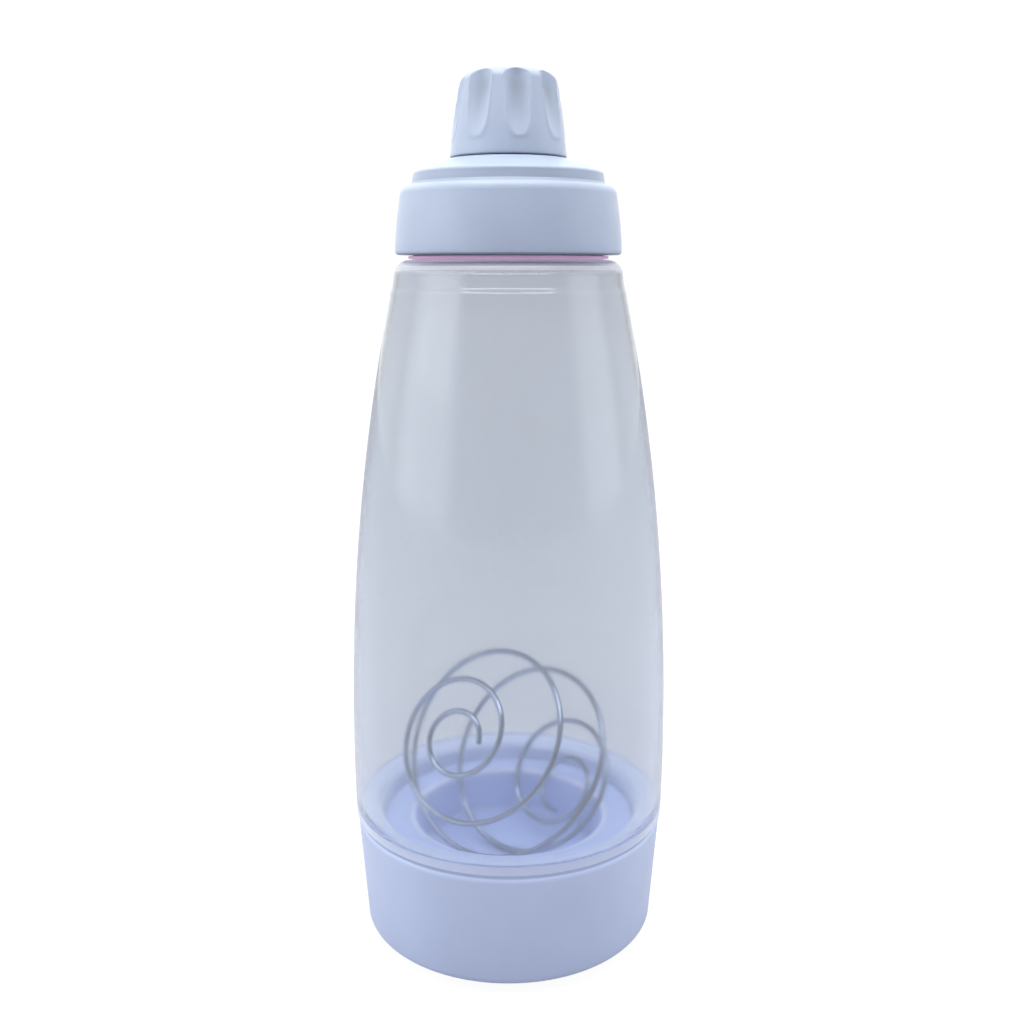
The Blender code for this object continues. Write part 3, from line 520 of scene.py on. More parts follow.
def make_retainer():
    """The ring that clips in under the nozzle's flange."""
    inner = RETAINER_RADIUS - RETAINER_WIDTH
    outline = [(inner, RETAINER_TOP), (RETAINER_RADIUS, RETAINER_TOP), (RETAINER_RADIUS, RETAINER_FOOT)]
    outline += [(inner, RETAINER_FOOT)]
    return settle(turned("retainer_looks", outline, True, segments=SMALL_SEGMENTS, soft=0.0005))


def overcap_radius(height):
    """Outer radius of the fluted cap's side."""
    share = (height - OVERCAP_FOOT) / (OVERCAP_HEIGHT - OVERCAP_FILLET)
    bent = OVERCAP_STRAIGHTNESS * share + (1.0 - OVERCAP_STRAIGHTNESS) * share ** 2
    return OVERCAP_RADIUS - OVERCAP_TAPER * bent


def scoop(angle, height):
    """Depth of the nearest flute below the cap's side, which is negative beside the flute."""
    share = (height - OVERCAP_END + FLUTE_LENGTH) / FLUTE_LENGTH
    pitch = math.tau / FLUTE_COUNT
    off = (angle - FLUTE_PHASE + pitch / 2.0) % pitch - pitch / 2.0
    aside = overcap_radius(height) * math.sin(off) / FLUTE_HALF_WIDTH
    if share <= FLUTE_FOOT_SHARE:
        return FLUTE_DEPTH * (FLUTE_FOOT_SLOPE * share - FLUTE_FOOT_SPREAD * aside * aside)
    round_end = math.sqrt(1.0 - (1.0 - min(1.0, share / FLUTE_ROUND_SHARE)) ** 2)
    width = FLUTE_END_WIDTH * round_end + FLUTE_WIDENING * share
    near_top = max(0.0, (height - OVERCAP_END) / FLUTE_TOP_FADE + 1.0)
    return FLUTE_DEPTH * share * (1.0 - (aside / width) ** 2) * (1.0 - FLUTE_TOP_LOSS * near_top ** 2)


def fluted(radius, angle, height):
    """Radius of a point of the cap's side once the nearest flute is scooped out, with soft edges."""
    depth = scoop(angle, height)
    near = max(0.0, 1.0 - abs(depth) / FLUTE_EDGE)
    lip = FLUTE_LIP * near * near * (3.0 - 2.0 * near)
    return min(radius, overcap_radius(height) - max(0.0, depth)) + lip


def make_overcap():
    """The fluted cap, with its flutes pressed into a fine skin."""
    side_top = OVERCAP_END - OVERCAP_FILLET
    top_radius = overcap_radius(side_top)
    skirt_end = OVERCAP_FOOT + OVERCAP_SKIRT
    flat_radius = top_radius - OVERCAP_FILLET_WIDTH
    side_steps = 44
    flute_skin = 0.0006
    top_skin = 0.0005
    shade_skin = 0.0004
    heights = [side_top + (OVERCAP_FOOT + SOFT_EDGE - side_top) * i / side_steps
               for i in range(1, side_steps + 1)]
    outline = [(0.0, OVERCAP_END), (0.6 * flat_radius, OVERCAP_END)]
    outline += arc(flat_radius, side_top, OVERCAP_FILLET_WIDTH, OVERCAP_FILLET, 90.0, 4.0, 22)
    outline += [(overcap_radius(z), z) for z in heights]
    outline += [(OVERCAP_RADIUS - SOFT_EDGE, OVERCAP_FOOT), (OVERCAP_BORE, OVERCAP_FOOT)]
    outline += [(OVERCAP_BORE, skirt_end), (LINER_BORE, skirt_end + OVERCAP_BORE - LINER_BORE)]
    outline += [(LINER_BORE, OVERCAP_CEILING), (0.0, OVERCAP_CEILING)]
    cap = settle(turned("overcap_looks", outline, False, segments=CAP_SEGMENTS, soft=0.0002))
    for vertex in cap.data.vertices:
        radius = math.hypot(vertex.co.x, vertex.co.y)
        outside = radius > OVERCAP_BORE + flute_skin or vertex.co.z > OVERCAP_CEILING + top_skin
        if outside and radius > 0.001:
            angle = math.atan2(vertex.co.y, vertex.co.x)
            scale = fluted(radius, angle, vertex.co.z) / radius
            vertex.co.x *= scale
            vertex.co.y *= scale
    ridge = thread_ridge(OVERCAP_BORE, -1, COLLAR_FOOT + CAP_THREAD_START, CAP_LEAD, CAP_RIDGE)
    cap = settle(cap, [ridge])
    # Flute depth at each point, which drives the painted shade in the flutes
    hollow = cap.data.attributes.new("hollow", "FLOAT", "POINT")
    for vertex, value in zip(cap.data.vertices, hollow.data):
        depth = scoop(math.atan2(vertex.co.y, vertex.co.x), vertex.co.z)
        radius = math.hypot(vertex.co.x, vertex.co.y)
        bore = OVERCAP_BORE if vertex.co.z < skirt_end + OVERCAP_BORE - LINER_BORE else LINER_BORE
        outside = radius > bore + shade_skin or vertex.co.z > OVERCAP_CEILING + shade_skin
        below_top = min(1.0, (OVERCAP_END - vertex.co.z) / FLUTE_TOP_FADE)
        value.value = min(1.0, max(0.0, depth) / FLUTE_DEPTH) * below_top if outside else 0.0
    return cap


def make_liner():
    """The soft disc in the fluted cap."""
    outline = [(0.0, LINER_TOP), (LINER_RADIUS, LINER_TOP), (LINER_RADIUS, LINER_FOOT), (0.0, LINER_FOOT)]
    return settle(turned("liner_looks", outline, False, segments=SMALL_SEGMENTS))


def whisk_point(share):
    """A point of the whisk's wire about the ball's middle, with share running from 0 to 1."""
    elevation = POLE_ELEVATION + POLE_TURN_ELEVATION * (share - 0.5)
    azimuth = POLE_AZIMUTH + POLE_TURN_AZIMUTH * (share - 0.5)
    pole = Vector((math.sin(azimuth) * math.cos(elevation), -math.cos(azimuth) * math.cos(elevation),
                   math.sin(elevation)))
    side = Vector((0.0, 0.0, 1.0)).cross(pole).normalized()
    up = pole.cross(side)
    swell = PITCH_SWELL * math.sin(math.tau * share) / math.tau
    skew = PITCH_SKEW * math.sin(2.0 * math.tau * share) / (2.0 * math.tau)
    around = BALL_PHASE + math.tau * BALL_TURNS * share
    down = BALL_START + (BALL_END - BALL_START) * (share - swell - skew)
    down += LOOP_TILT * math.cos(around - LOOP_TILT_PHASE)
    radius = BALL_RADIUS - WIRE_DIAMETER / 2.0
    along = BALL_STRETCH * math.cos(down) * pole
    across = math.sin(down) * (math.cos(around) * side + math.sin(around) * up)
    return radius * (along + across)


def ball_rest_height(points):
    """Height of the ball's middle when its lowest loops rest on the well's floor, corner or rim."""
    reach = WIRE_DIAMETER / 2.0 + SEAT_GAP
    corner = max(0.0, WELL_FILLET - reach)
    height = 0.0
    for point in points:
        from_axis = math.hypot(point.x - BALL_OFFSET, point.y)
        into_corner = max(0.0, from_axis - (WELL_RADIUS - reach - corner))
        if into_corner > corner:
            lowest = SHELF + reach
        else:
            lowest = WELL_FLOOR + reach + corner - math.sqrt(corner ** 2 - into_corner ** 2)
        height = max(height, lowest - point.z)
    return height


def make_whisk():
    """The wire of the whisk ball, fine and round, with its cut ends rounded off."""
    coarse = round(BALL_TURNS * COARSE_LOOP)
    count = round(BALL_TURNS * POINTS_PER_LOOP)
    rest_height = ball_rest_height([whisk_point(i / coarse) for i in range(coarse + 1)])
    middle = Vector((-BALL_OFFSET, 0.0, rest_height))
    end_share = WIRE_END / (math.tau * BALL_RADIUS * BALL_TURNS * MEAN_LOOP)
    shares = [WIRE_TRIM + (1.0 - WIRE_TRIM) * i / count for i in range(count + 1)]
    start = shares[0]
    shares = [start, start + 0.5 * end_share, start + end_share] + shares[1:-1]
    shares += [1.0 - end_share, 1.0 - 0.5 * end_share, 1.0]
    radii = [*WIRE_END_RADII] + [1.0] * (len(shares) - 2 * len(WIRE_END_RADII)) + [*reversed(WIRE_END_RADII)]
    points = [whisk_point(share) + middle for share in shares]
    wire = mesh_from_curve(wire_curve("whisk_looks", points, WIRE_DIAMETER, 4, radii))
    return settle(wire)


# Materials

# Noises: features per metre, and detail
PLASTIC_CLOUDS = (55.0, 3.0)
PLASTIC_SPOTS = (240.0, 4.0)
PLASTIC_GRAIN = (1600.0, 2.0)
PLASTIC_GRAIN_DEPTH = 0.000012
RUBBER_CLOUDS = (120.0, 4.0)
RUBBER_SPOTS = (400.0, 3.0)
RUBBER_GRAIN = (2400.0, 2.0)
RUBBER_GRAIN_DEPTH = 0.00001
SHELL_WAVES = (26.0, 2.0, (1.0, 1.0, 0.35))
SHELL_WAVE_DEPTH = 0.000018
SHELL_SPOTS = (70.0, 3.0)
STEEL_CLOUDS = (420.0, 5.0)
STEEL_SPOTS = (900.0, 4.0)
STEEL_GRAIN = (3000.0, 3.0)
STEEL_GRAIN_DEPTH = 0.000006
NOISE_MIDDLE = (0.3, 0.7)

# Refraction, shades and tints, with painted shade in crevices and flutes and painted sheen along outlines
PLASTIC_IOR = 1.49
RUBBER_IOR = 1.41
SHELL_IOR = 1.46
CLOUD_DARK = 0.965
CLOUD_LIGHT = 1.03
RUBBER_DARK = 0.93
STEEL_DARK = 0.82
CREVICE_SHADE = 0.45
CREVICE_SAMPLES = 8
HOLLOW_FULL = 0.75
# Painted sheen: the clear plastics turn towards this paler tint where they are seen edge-on
OUTLINE_SHEEN = 0.75
OUTLINE_SHEEN_TINT = (0.90, 0.95, 1.0)
OUTLINE_FACING = (0.48, 0.80)


def math_node(tree, operation, first, second=None):
    """A math node, with sockets or plain numbers as its inputs."""
    node = tree.nodes.new("ShaderNodeMath")
    node.operation = operation
    for slot, value in enumerate((first, second)):
        if value is None:
            continue
        if isinstance(value, (int, float)):
            node.inputs[slot].default_value = value
        else:
            tree.links.new(value, node.inputs[slot])
    return node.outputs[0]


def times(tree, first, second):
    """The product of two sockets or numbers."""
    return math_node(tree, "MULTIPLY", first, second)


def plus(tree, first, second):
    """The sum of two sockets or numbers."""
    return math_node(tree, "ADD", first, second)


def window(tree, source, dark, bright):
    """A smooth step that is 0 at the dark value and 1 at the bright one."""
    step = tree.nodes.new("ShaderNodeMapRange")
    step.interpolation_type = "SMOOTHSTEP"
    step.inputs["From Min"].default_value = dark
    step.inputs["From Max"].default_value = bright
    step.inputs["To Min"].default_value = 0.0
    step.inputs["To Max"].default_value = 1.0
    tree.links.new(source, step.inputs["Value"])
    return step.outputs["Result"]


def colour_mix(tree, factor, first, second):
    """A mix of two colours, each a socket or plain numbers."""
    mix = tree.nodes.new("ShaderNodeMix")
    mix.data_type = "RGBA"
    tree.links.new(factor, mix.inputs["Factor"])
    for slot, colour in (("A", first), ("B", second)):
        if isinstance(colour, tuple):
            mix.inputs[slot].default_value = (*colour, 1.0)
        else:
            tree.links.new(colour, mix.inputs[slot])
    return mix.outputs["Result"]


def own_place(tree):
    """The X, Y and Z of a point in the piece's own space, in metres."""
    place = tree.nodes.new("ShaderNodeTexCoord")
    parts = tree.nodes.new("ShaderNodeSeparateXYZ")
    tree.links.new(place.outputs["Object"], parts.inputs[0])
    return parts.outputs["X"], parts.outputs["Y"], parts.outputs["Z"]


def shader_of(name, colour, roughness, metallic=0.0):
    """A material and its Principled shader, with plain values set on its sockets."""
    material = bpy.data.materials.new(name)
    material.use_nodes = True
    shader = material.node_tree.nodes["Principled BSDF"]
    shader.inputs["Base Color"].default_value = (*colour, 1.0)
    shader.inputs["Roughness"].default_value = roughness
    shader.inputs["Metallic"].default_value = metallic
    material.diffuse_color = (*colour, 1.0)
    return material, shader


def noise(material, scale, detail, stretch=(1.0, 1.0, 1.0)):
    """A noise texture in the object's own space, with scale in features per metre."""
    nodes = material.node_tree.nodes
    links = material.node_tree.links
    place = nodes.new("ShaderNodeTexCoord")
    mapping = nodes.new("ShaderNodeMapping")
    mapping.inputs["Scale"].default_value = stretch
    texture = nodes.new("ShaderNodeTexNoise")
    texture.inputs["Scale"].default_value = scale
    texture.inputs["Detail"].default_value = detail
    links.new(place.outputs["Object"], mapping.inputs["Vector"])
    links.new(mapping.outputs["Vector"], texture.inputs["Vector"])
    return texture.outputs["Fac"]


def spread(material, source, low, high):
    """Map a noise onto the range from low to high."""
    remap = material.node_tree.nodes.new("ShaderNodeMapRange")
    remap.inputs["From Min"].default_value, remap.inputs["From Max"].default_value = NOISE_MIDDLE
    remap.inputs["To Min"].default_value = low
    remap.inputs["To Max"].default_value = high
    material.node_tree.links.new(source, remap.inputs["Value"])
    return remap.outputs["Result"]


def tint(material, source, first, second):
    """A colour that drifts between two shades with a noise."""
    return colour_mix(material.node_tree, spread(material, source, 0.0, 1.0), tuple(first), tuple(second))


def bump(material, shader, source, height):
    """A bump of this height in metres."""
    node = material.node_tree.nodes.new("ShaderNodeBump")
    node.inputs["Strength"].default_value = 1.0
    node.inputs["Distance"].default_value = height
    material.node_tree.links.new(source, node.inputs["Height"])
    material.node_tree.links.new(node.outputs["Normal"], shader.inputs["Normal"])


def uneven_gloss(material, shader, spots, low, high):
    """Let the roughness drift from low to high in spots of this noise."""
    drift = spread(material, noise(material, *spots), low, high)
    material.node_tree.links.new(drift, shader.inputs["Roughness"])


def moulded_plastic(name, colour, roughness, crevice):
    """Satin moulded plastic: fine grain, faint cloudiness and painted shade in crevices, up to this far from
    a wall.
    """
    material, shader = shader_of(name, colour, roughness)
    tree = material.node_tree
    darker = tuple(CLOUD_DARK * c for c in colour)
    lighter = tuple(min(1.0, CLOUD_LIGHT * c) for c in colour)
    cloudy = tint(material, noise(material, *PLASTIC_CLOUDS), darker, lighter)
    # Painted shade: the base colour darkens in crevices and near other walls, found by ambient occlusion
    occlusion_shade = tree.nodes.new("ShaderNodeAmbientOcclusion")
    occlusion_shade.samples = CREVICE_SAMPLES
    occlusion_shade.inputs["Distance"].default_value = crevice
    dark = tuple(CREVICE_SHADE * c for c in colour)
    tree.links.new(colour_mix(tree, occlusion_shade.outputs["AO"], dark, cloudy), shader.inputs["Base Color"])
    uneven_gloss(material, shader, PLASTIC_SPOTS, roughness - 0.05, roughness + 0.06)
    bump(material, shader, noise(material, *PLASTIC_GRAIN), PLASTIC_GRAIN_DEPTH)
    shader.inputs["IOR"].default_value = PLASTIC_IOR
    return material


def shade_by(material, inside, gain):
    """Multiply a material's base colour by this gain where the inside factor is 1."""
    tree = material.node_tree
    factor = plus(tree, times(tree, inside, gain - 1.0), 1.0)
    shader = tree.nodes["Principled BSDF"]
    scale = tree.nodes.new("ShaderNodeVectorMath")
    scale.operation = "SCALE"
    tree.links.new(shader.inputs["Base Color"].links[0].from_socket, scale.inputs[0])
    tree.links.new(factor, scale.inputs["Scale"])
    tree.links.new(scale.outputs["Vector"], shader.inputs["Base Color"])


def painted_shading_band(material, foot, head, soft, gain):
    """Paint shade or light into a level band of a turned piece, darker or lighter by the gain, with soft
    edges. Heights are in metres.
    """
    tree = material.node_tree
    height = own_place(tree)[2]
    rise = window(tree, height, foot - soft, foot)
    fall = window(tree, height, head + soft, head)
    shade_by(material, times(tree, rise, fall), gain)


def painted_highlight_ring(material, inner, outer, foot, soft, colour):
    """Paint a highlight into a ring of a turned piece by making it paler, above this height and between two
    radii, in metres.
    """
    tree = material.node_tree
    shader = tree.nodes["Principled BSDF"]
    x, y, height = own_place(tree)
    radius = math_node(tree, "SQRT", plus(tree, times(tree, x, x), times(tree, y, y)))
    beyond = window(tree, radius, inner - soft, inner)
    within = window(tree, radius, outer + soft, outer)
    inside = times(tree, times(tree, beyond, within), window(tree, height, foot - soft, foot))
    plain = shader.inputs["Base Color"].links[0].from_socket
    tree.links.new(colour_mix(tree, inside, plain, colour), shader.inputs["Base Color"])


def shade_hollows(material, gain):
    """Darken the floors of the cap's flutes, where less light comes in."""
    tree = material.node_tree
    hollow = tree.nodes.new("ShaderNodeAttribute")
    hollow.attribute_name = "hollow"
    shade_by(material, window(tree, hollow.outputs["Fac"], 0.0, HOLLOW_FULL), gain)


def painted_glow(material, colour, strength):
    """Painted light: the part glows faintly, standing in for the light that a translucent moulding brings
    from behind it.
    """
    shader = material.node_tree.nodes["Principled BSDF"]
    shader.inputs["Emission Color"].default_value = (*colour, 1.0)
    shader.inputs["Emission Strength"].default_value = strength


def soft_rubber(name, colour, roughness):
    """Silicone: matt, with a fine dusty grain."""
    material, shader = shader_of(name, colour, roughness)
    darker = tuple(RUBBER_DARK * c for c in colour)
    dusty = tint(material, noise(material, *RUBBER_CLOUDS), darker, colour)
    material.node_tree.links.new(dusty, shader.inputs["Base Color"])
    uneven_gloss(material, shader, RUBBER_SPOTS, roughness - 0.08, roughness + 0.08)
    bump(material, shader, noise(material, *RUBBER_GRAIN), RUBBER_GRAIN_DEPTH)
    shader.inputs["IOR"].default_value = RUBBER_IOR
    return material


def hazy_clear(name, colour, roughness, clearness):
    """Clear plastic with a light haze, a painted sheen that makes it paler towards its outline, and the faint
    waves of a blown wall.
    """
    material, shader = shader_of(name, colour, roughness)
    tree = material.node_tree
    # Painted sheen: the base colour turns paler towards the outline
    facing = tree.nodes.new("ShaderNodeLayerWeight")
    facing.inputs["Blend"].default_value = 0.5
    near_outline = window(tree, facing.outputs["Facing"], *OUTLINE_FACING)
    paler = tuple(c + OUTLINE_SHEEN * (t - c) for c, t in zip(colour, OUTLINE_SHEEN_TINT))
    tree.links.new(colour_mix(tree, near_outline, colour, paler), shader.inputs["Base Color"])
    shader.inputs["Transmission Weight"].default_value = clearness
    shader.inputs["IOR"].default_value = SHELL_IOR
    bump(material, shader, noise(material, *SHELL_WAVES), SHELL_WAVE_DEPTH)
    uneven_gloss(material, shader, SHELL_SPOTS, roughness - 0.02, roughness + 0.03)
    return material


def drawn_steel(name, colour, roughness):
    """Polished drawn wire with fine drawing marks."""
    material, shader = shader_of(name, colour, roughness, 1.0)
    darker = tuple(STEEL_DARK * c for c in colour)
    drawn = tint(material, noise(material, *STEEL_CLOUDS), darker, colour)
    material.node_tree.links.new(drawn, shader.inputs["Base Color"])
    uneven_gloss(material, shader, STEEL_SPOTS, roughness - 0.06, roughness + 0.08)
    bump(material, shader, noise(material, *STEEL_GRAIN), STEEL_GRAIN_DEPTH)
    return material


CUP_PLASTIC = moulded_plastic("cup_plastic", (0.565, 0.65, 0.86), 0.34, 0.0014)
FLOOR_PLASTIC = moulded_plastic("floor_plastic", (0.44, 0.54, 0.87), 0.34, 0.0030)
LID_PLASTIC = moulded_plastic("lid_plastic", (0.495, 0.572, 0.712), 0.36, 0.0020)
CAP_PLASTIC = moulded_plastic("overcap_plastic", (0.515, 0.59, 0.725), 0.345, 0.0022)
INNER_PLASTIC = moulded_plastic("retainer_plastic", (0.74, 0.77, 0.83), 0.40, 0.0020)
CLEAR_PLASTIC = hazy_clear("shell_plastic", (0.81, 0.84, 0.89), 0.09, 0.90)
FROSTED_PLASTIC = hazy_clear("shell_foot_plastic", (0.53, 0.60, 0.82), 0.16, 0.12)
LIP_PLASTIC = hazy_clear("shell_lip_plastic", (0.70, 0.77, 0.96), 0.24, 0.12)
# Painted light: the shell's top zone under the lid is paler. Painted shade: the shoulder zone below it is
# darker
LIT_TOP_PLASTIC = hazy_clear("shell_lit_top_plastic", (0.90, 0.82, 0.93), 0.40, 0.15)
SHADED_SHOULDER_PLASTIC = hazy_clear("shell_shaded_shoulder_plastic", (0.52, 0.50, 0.60), 0.35, 0.35)
BEND_PLASTIC = hazy_clear("shell_bend_plastic", (0.90, 0.92, 0.98), 0.34, 0.55)
CLOUDY_PLASTIC = hazy_clear("shell_cloudy_plastic", (0.83, 0.86, 0.91), 0.22, 0.78)
PINK_SILICONE = soft_rubber("pink_ring", (0.90, 0.58, 0.84), 0.50)
WHITE_SILICONE = soft_rubber("white_ring", (0.76, 0.76, 0.79), 0.55)
SPOUT_SILICONE = soft_rubber("spout_silicone", (0.78, 0.79, 0.82), 0.45)
LINER_FOAM = soft_rubber("liner_foam", (0.78, 0.78, 0.78), 0.65)
STEEL = drawn_steel("whisk_steel", (0.42, 0.48, 0.59), 0.09)

shade_hollows(CAP_PLASTIC, gain=0.72)
# Painted highlight round the rim of the tray's well
painted_highlight_ring(FLOOR_PLASTIC, WELL_RADIUS - 0.0002, WELL_RADIUS + 0.0010, SHELF - 0.0008, soft=0.0006,
          colour=(0.68, 0.72, 0.95))
# Painted shadow on the top of the cup's lip, in the gap under the shell's foot
painted_shading_band(CUP_PLASTIC, CUP_HEIGHT - 0.0007, CUP_HEIGHT, soft=0.0003, gain=0.64)
# Painted highlight on the lower rounding of the cup's lip
painted_shading_band(CUP_PLASTIC, CUP_HEIGHT - 0.0018, CUP_HEIGHT - 0.0013, soft=0.0004, gain=1.10)
# Painted shade on the lid's step wall
painted_shading_band(LID_PLASTIC, LID_STEP, SLOPE_FOOT - STEP_FILLET, soft=0.0006, gain=0.90)
# Painted shadow along the lid's foot edge, under the lid
painted_shading_band(LID_PLASTIC, LID_FOOT, LID_FOOT + 0.0002, soft=0.0003, gain=0.45)
# Painted light: the shell's top zone under the lid and the pink ring glows faintly, though neither is a lamp
painted_glow(LIT_TOP_PLASTIC, (0.92, 0.80, 1.0), strength=0.14)
painted_glow(PINK_SILICONE, (1.0, 0.64, 0.90), strength=0.14)

# The shell's cloudier plastics by material index, and how far each zone reaches below the shoulder's top; the
# top zone also carries painted light and the shoulder zone below it painted shade
THICK_PLASTICS = (FROSTED_PLASTIC, LIT_TOP_PLASTIC, SHADED_SHOULDER_PLASTIC, BEND_PLASTIC, CLOUDY_PLASTIC, LIP_PLASTIC)
FROSTED_INDEX = 1
FIRST_ZONE_INDEX = 2
LIP_INDEX = 6
SHOULDER_ZONES = (0.0005, 0.0014, 0.0023, 0.0032)
STEP_TOP = SEAM + 1.08 * SHELL_WALL
STEP_EDGE_RADIUS = SEAM_RADIUS - 0.5 * SHELL_WALL
NECK_SKIN = 0.0001


def dress(piece, material, node, body):
    """Give a fine piece its material, and let it stand for a node of the frame."""
    piece.data.materials.clear()
    piece.data.materials.append(material)
    for face in piece.data.polygons:
        face.material_index = 0
    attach(piece, body)
    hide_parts(node)


def cloud_and_shade_thick_parts(piece):
    """Give the shell's thick step, spigot and shoulder edge their cloudier plastic, with painted light and
    painted shade in the zones at the shoulder's top.
    """
    for material in THICK_PLASTICS:
        piece.data.materials.append(material)
    for face in piece.data.polygons:
        height = face.center.z
        from_axis = math.hypot(face.center.x, face.center.y)
        if height < STEP_TOP and from_axis < STEP_EDGE_RADIUS:
            face.material_index = FROSTED_INDEX
        elif height < SEAM + FROST_RISE:
            face.material_index = LIP_INDEX
        elif from_axis > NECK_RADIUS - NECK_SKIN and height < LID_FOOT:
            for index, drop in enumerate(SHOULDER_ZONES):
                if height > SHOULDER - drop:
                    face.material_index = FIRST_ZONE_INDEX + index
                    break


dress(make_base_cup(), CUP_PLASTIC, "base_cup", "base")
dress(make_base_tray(), FLOOR_PLASTIC, "base_tray", "base")
base_ring = make_ring("base_ring_looks", PLUG_RADIUS + SLIDE_GAP, PLUG_RADIUS + SLIDE_GAP + BASE_SEAL_WIDTH,
                      BASE_SEAL_FOOT, BASE_SEAL_TOP, soft=0.0005)
dress(base_ring, WHITE_SILICONE, "base_seal", "base_ring")
shell = make_shell()
dress(shell, CLEAR_PLASTIC, "bottle_shell", "shell")
cloud_and_shade_thick_parts(shell)
shell.visible_shadow = False
lid_ring = make_ring("lid_ring_looks", NECK_RADIUS + SLIDE_GAP, NECK_RADIUS + SLIDE_GAP + LID_SEAL_WIDTH,
                     LID_SEAL_FOOT, LID_SEAL_TOP, soft=0.0003)
dress(lid_ring, PINK_SILICONE, "lid_seal", "lid_ring")
dress(make_lid(), LID_PLASTIC, "lid", "screw_lid")
dress(make_spout(), SPOUT_SILICONE, "spout", "screw_lid")
dress(make_retainer(), INNER_PLASTIC, "spout_retainer", "screw_lid")
dress(make_overcap(), CAP_PLASTIC, "overcap", "fluted_cap")
dress(make_liner(), LINER_FOAM, "cap_liner", "liner")
dress(make_whisk(), STEEL, "whisk_ball", "ball")


# Studio

MIDDLE = (0.0, 0.0, 0.11)
CAP_MIDDLE = (0.0, 0.0, 0.215)
FLOOR_SIZE = 8.0
FLOOR_DROP = 0.0002
FLOOR_BOUNCE = (0.58, 0.58, 0.64)
FLOOR_LEVEL = 1.10
FLOOR_GLOW_SHARE = 0.86
BACKDROP_LEVEL = 1.03
SEEN_THROUGH = 0.72
WHITE = (1.0, 1.0, 1.0, 1.0)

# The tent: its levels, its panels as panel() takes them, and its colours from back to front
TENT_LEVEL = 1.22
TENT_TILT = -0.06
TENT_TOP = 0.10
INSIDE_GAIN = 0.1
MIRRORED_INSIDE = 0.14
PANEL_COLOUR = (0.90, 0.97, 1.05, 1.0)
PANELS = ((-72.0, 10.0, 24.0, 0.0, 26.0, 16.0, 1.25), (80.0, 7.0, 18.0, 0.0, 26.0, 14.0, 1.05),
          (0.0, 160.0, 20.0, 68.0, 82.0, 7.0, 2.0))
FRONT_PANEL = (0.0, 40.0, 14.0, 28.5, 32.5, 2.0, 6.5)
TENT = ((0.0, (0.98, 1.0, 1.0)), (0.40, (0.96, 1.0, 0.98)), (0.58, (0.90, 0.94, 0.95)),
        (0.76, (0.26, 0.25, 0.29)), (1.0, (0.03, 0.03, 0.04)))
MIRRORED_TENT = ((0.0, (1.05, 1.07, 1.09)), (0.25, (0.80, 0.83, 0.86)), (0.50, (0.36, 0.38, 0.42)),
                 (0.76, (0.15, 0.15, 0.18)), (1.0, (0.05, 0.045, 0.06)))

CAMERA_LENS = 40.3
CAMERA_SENSOR = 36.0
CAMERA_CLIP = 0.01
CAMERA_PLACE = (0.0009, -0.300, 0.182)
CAMERA_PITCH = math.radians(77.94)


def flat_card(name, width, height, place, aim, material):
    """A flat card that faces a point."""
    mesh = bpy.data.meshes.new(name)
    shape = bmesh.new()
    bmesh.ops.create_grid(shape, x_segments=1, y_segments=1, size=0.5)
    shape.to_mesh(mesh)
    shape.free()
    card = bpy.data.objects.new(name, mesh)
    bpy.context.scene.collection.objects.link(card)
    card.scale = (width, height, 1.0)
    card.location = place
    card.rotation_euler = (Vector(aim) - Vector(place)).to_track_quat("Z", "Y").to_euler()
    mesh.materials.append(material)
    return card


def straight_share(tree):
    """1 for what the camera sees straight or through clear walls alone, which is the white background."""
    path = tree.nodes.new("ShaderNodeLightPath")
    seen = math_node(tree, "MAXIMUM", path.outputs["Is Camera Ray"], path.outputs["Is Transmission Ray"])
    matt = math_node(tree, "LESS_THAN", path.outputs["Diffuse Depth"], 0.5)
    bright = math_node(tree, "LESS_THAN", path.outputs["Glossy Depth"], 0.5)
    return times(tree, seen, times(tree, matt, bright))


def backdrop_level(tree, level):
    """The white background's brightness, which is lower behind the clear walls than beside them."""
    path = tree.nodes.new("ShaderNodeLightPath")
    behind = math_node(tree, "SUBTRACT", 1.0, path.outputs["Is Camera Ray"])
    return math_node(tree, "SUBTRACT", level, times(tree, behind, level - SEEN_THROUGH))


def floor_material():
    """A pale floor that shows as white, and keeps a faint share of the object's shadow."""
    material = bpy.data.materials.new("pale_floor")
    material.use_nodes = True
    tree = material.node_tree
    tree.nodes.clear()
    output = tree.nodes.new("ShaderNodeOutputMaterial")
    plain = tree.nodes.new("ShaderNodeBsdfDiffuse")
    plain.inputs["Color"].default_value = (*FLOOR_BOUNCE, 1.0)
    lit = tree.nodes.new("ShaderNodeBsdfDiffuse")
    lit.inputs["Color"].default_value = WHITE
    white = tree.nodes.new("ShaderNodeEmission")
    white.inputs["Color"].default_value = WHITE
    tree.links.new(backdrop_level(tree, FLOOR_LEVEL), white.inputs["Strength"])
    seen = tree.nodes.new("ShaderNodeMixShader")
    seen.inputs["Fac"].default_value = FLOOR_GLOW_SHARE
    tree.links.new(lit.outputs[0], seen.inputs[1])
    tree.links.new(white.outputs[0], seen.inputs[2])
    pick = tree.nodes.new("ShaderNodeMixShader")
    tree.links.new(straight_share(tree), pick.inputs["Fac"])
    tree.links.new(plain.outputs[0], pick.inputs[1])
    tree.links.new(seen.outputs[0], pick.inputs[2])
    tree.links.new(pick.outputs[0], output.inputs["Surface"])
    return material


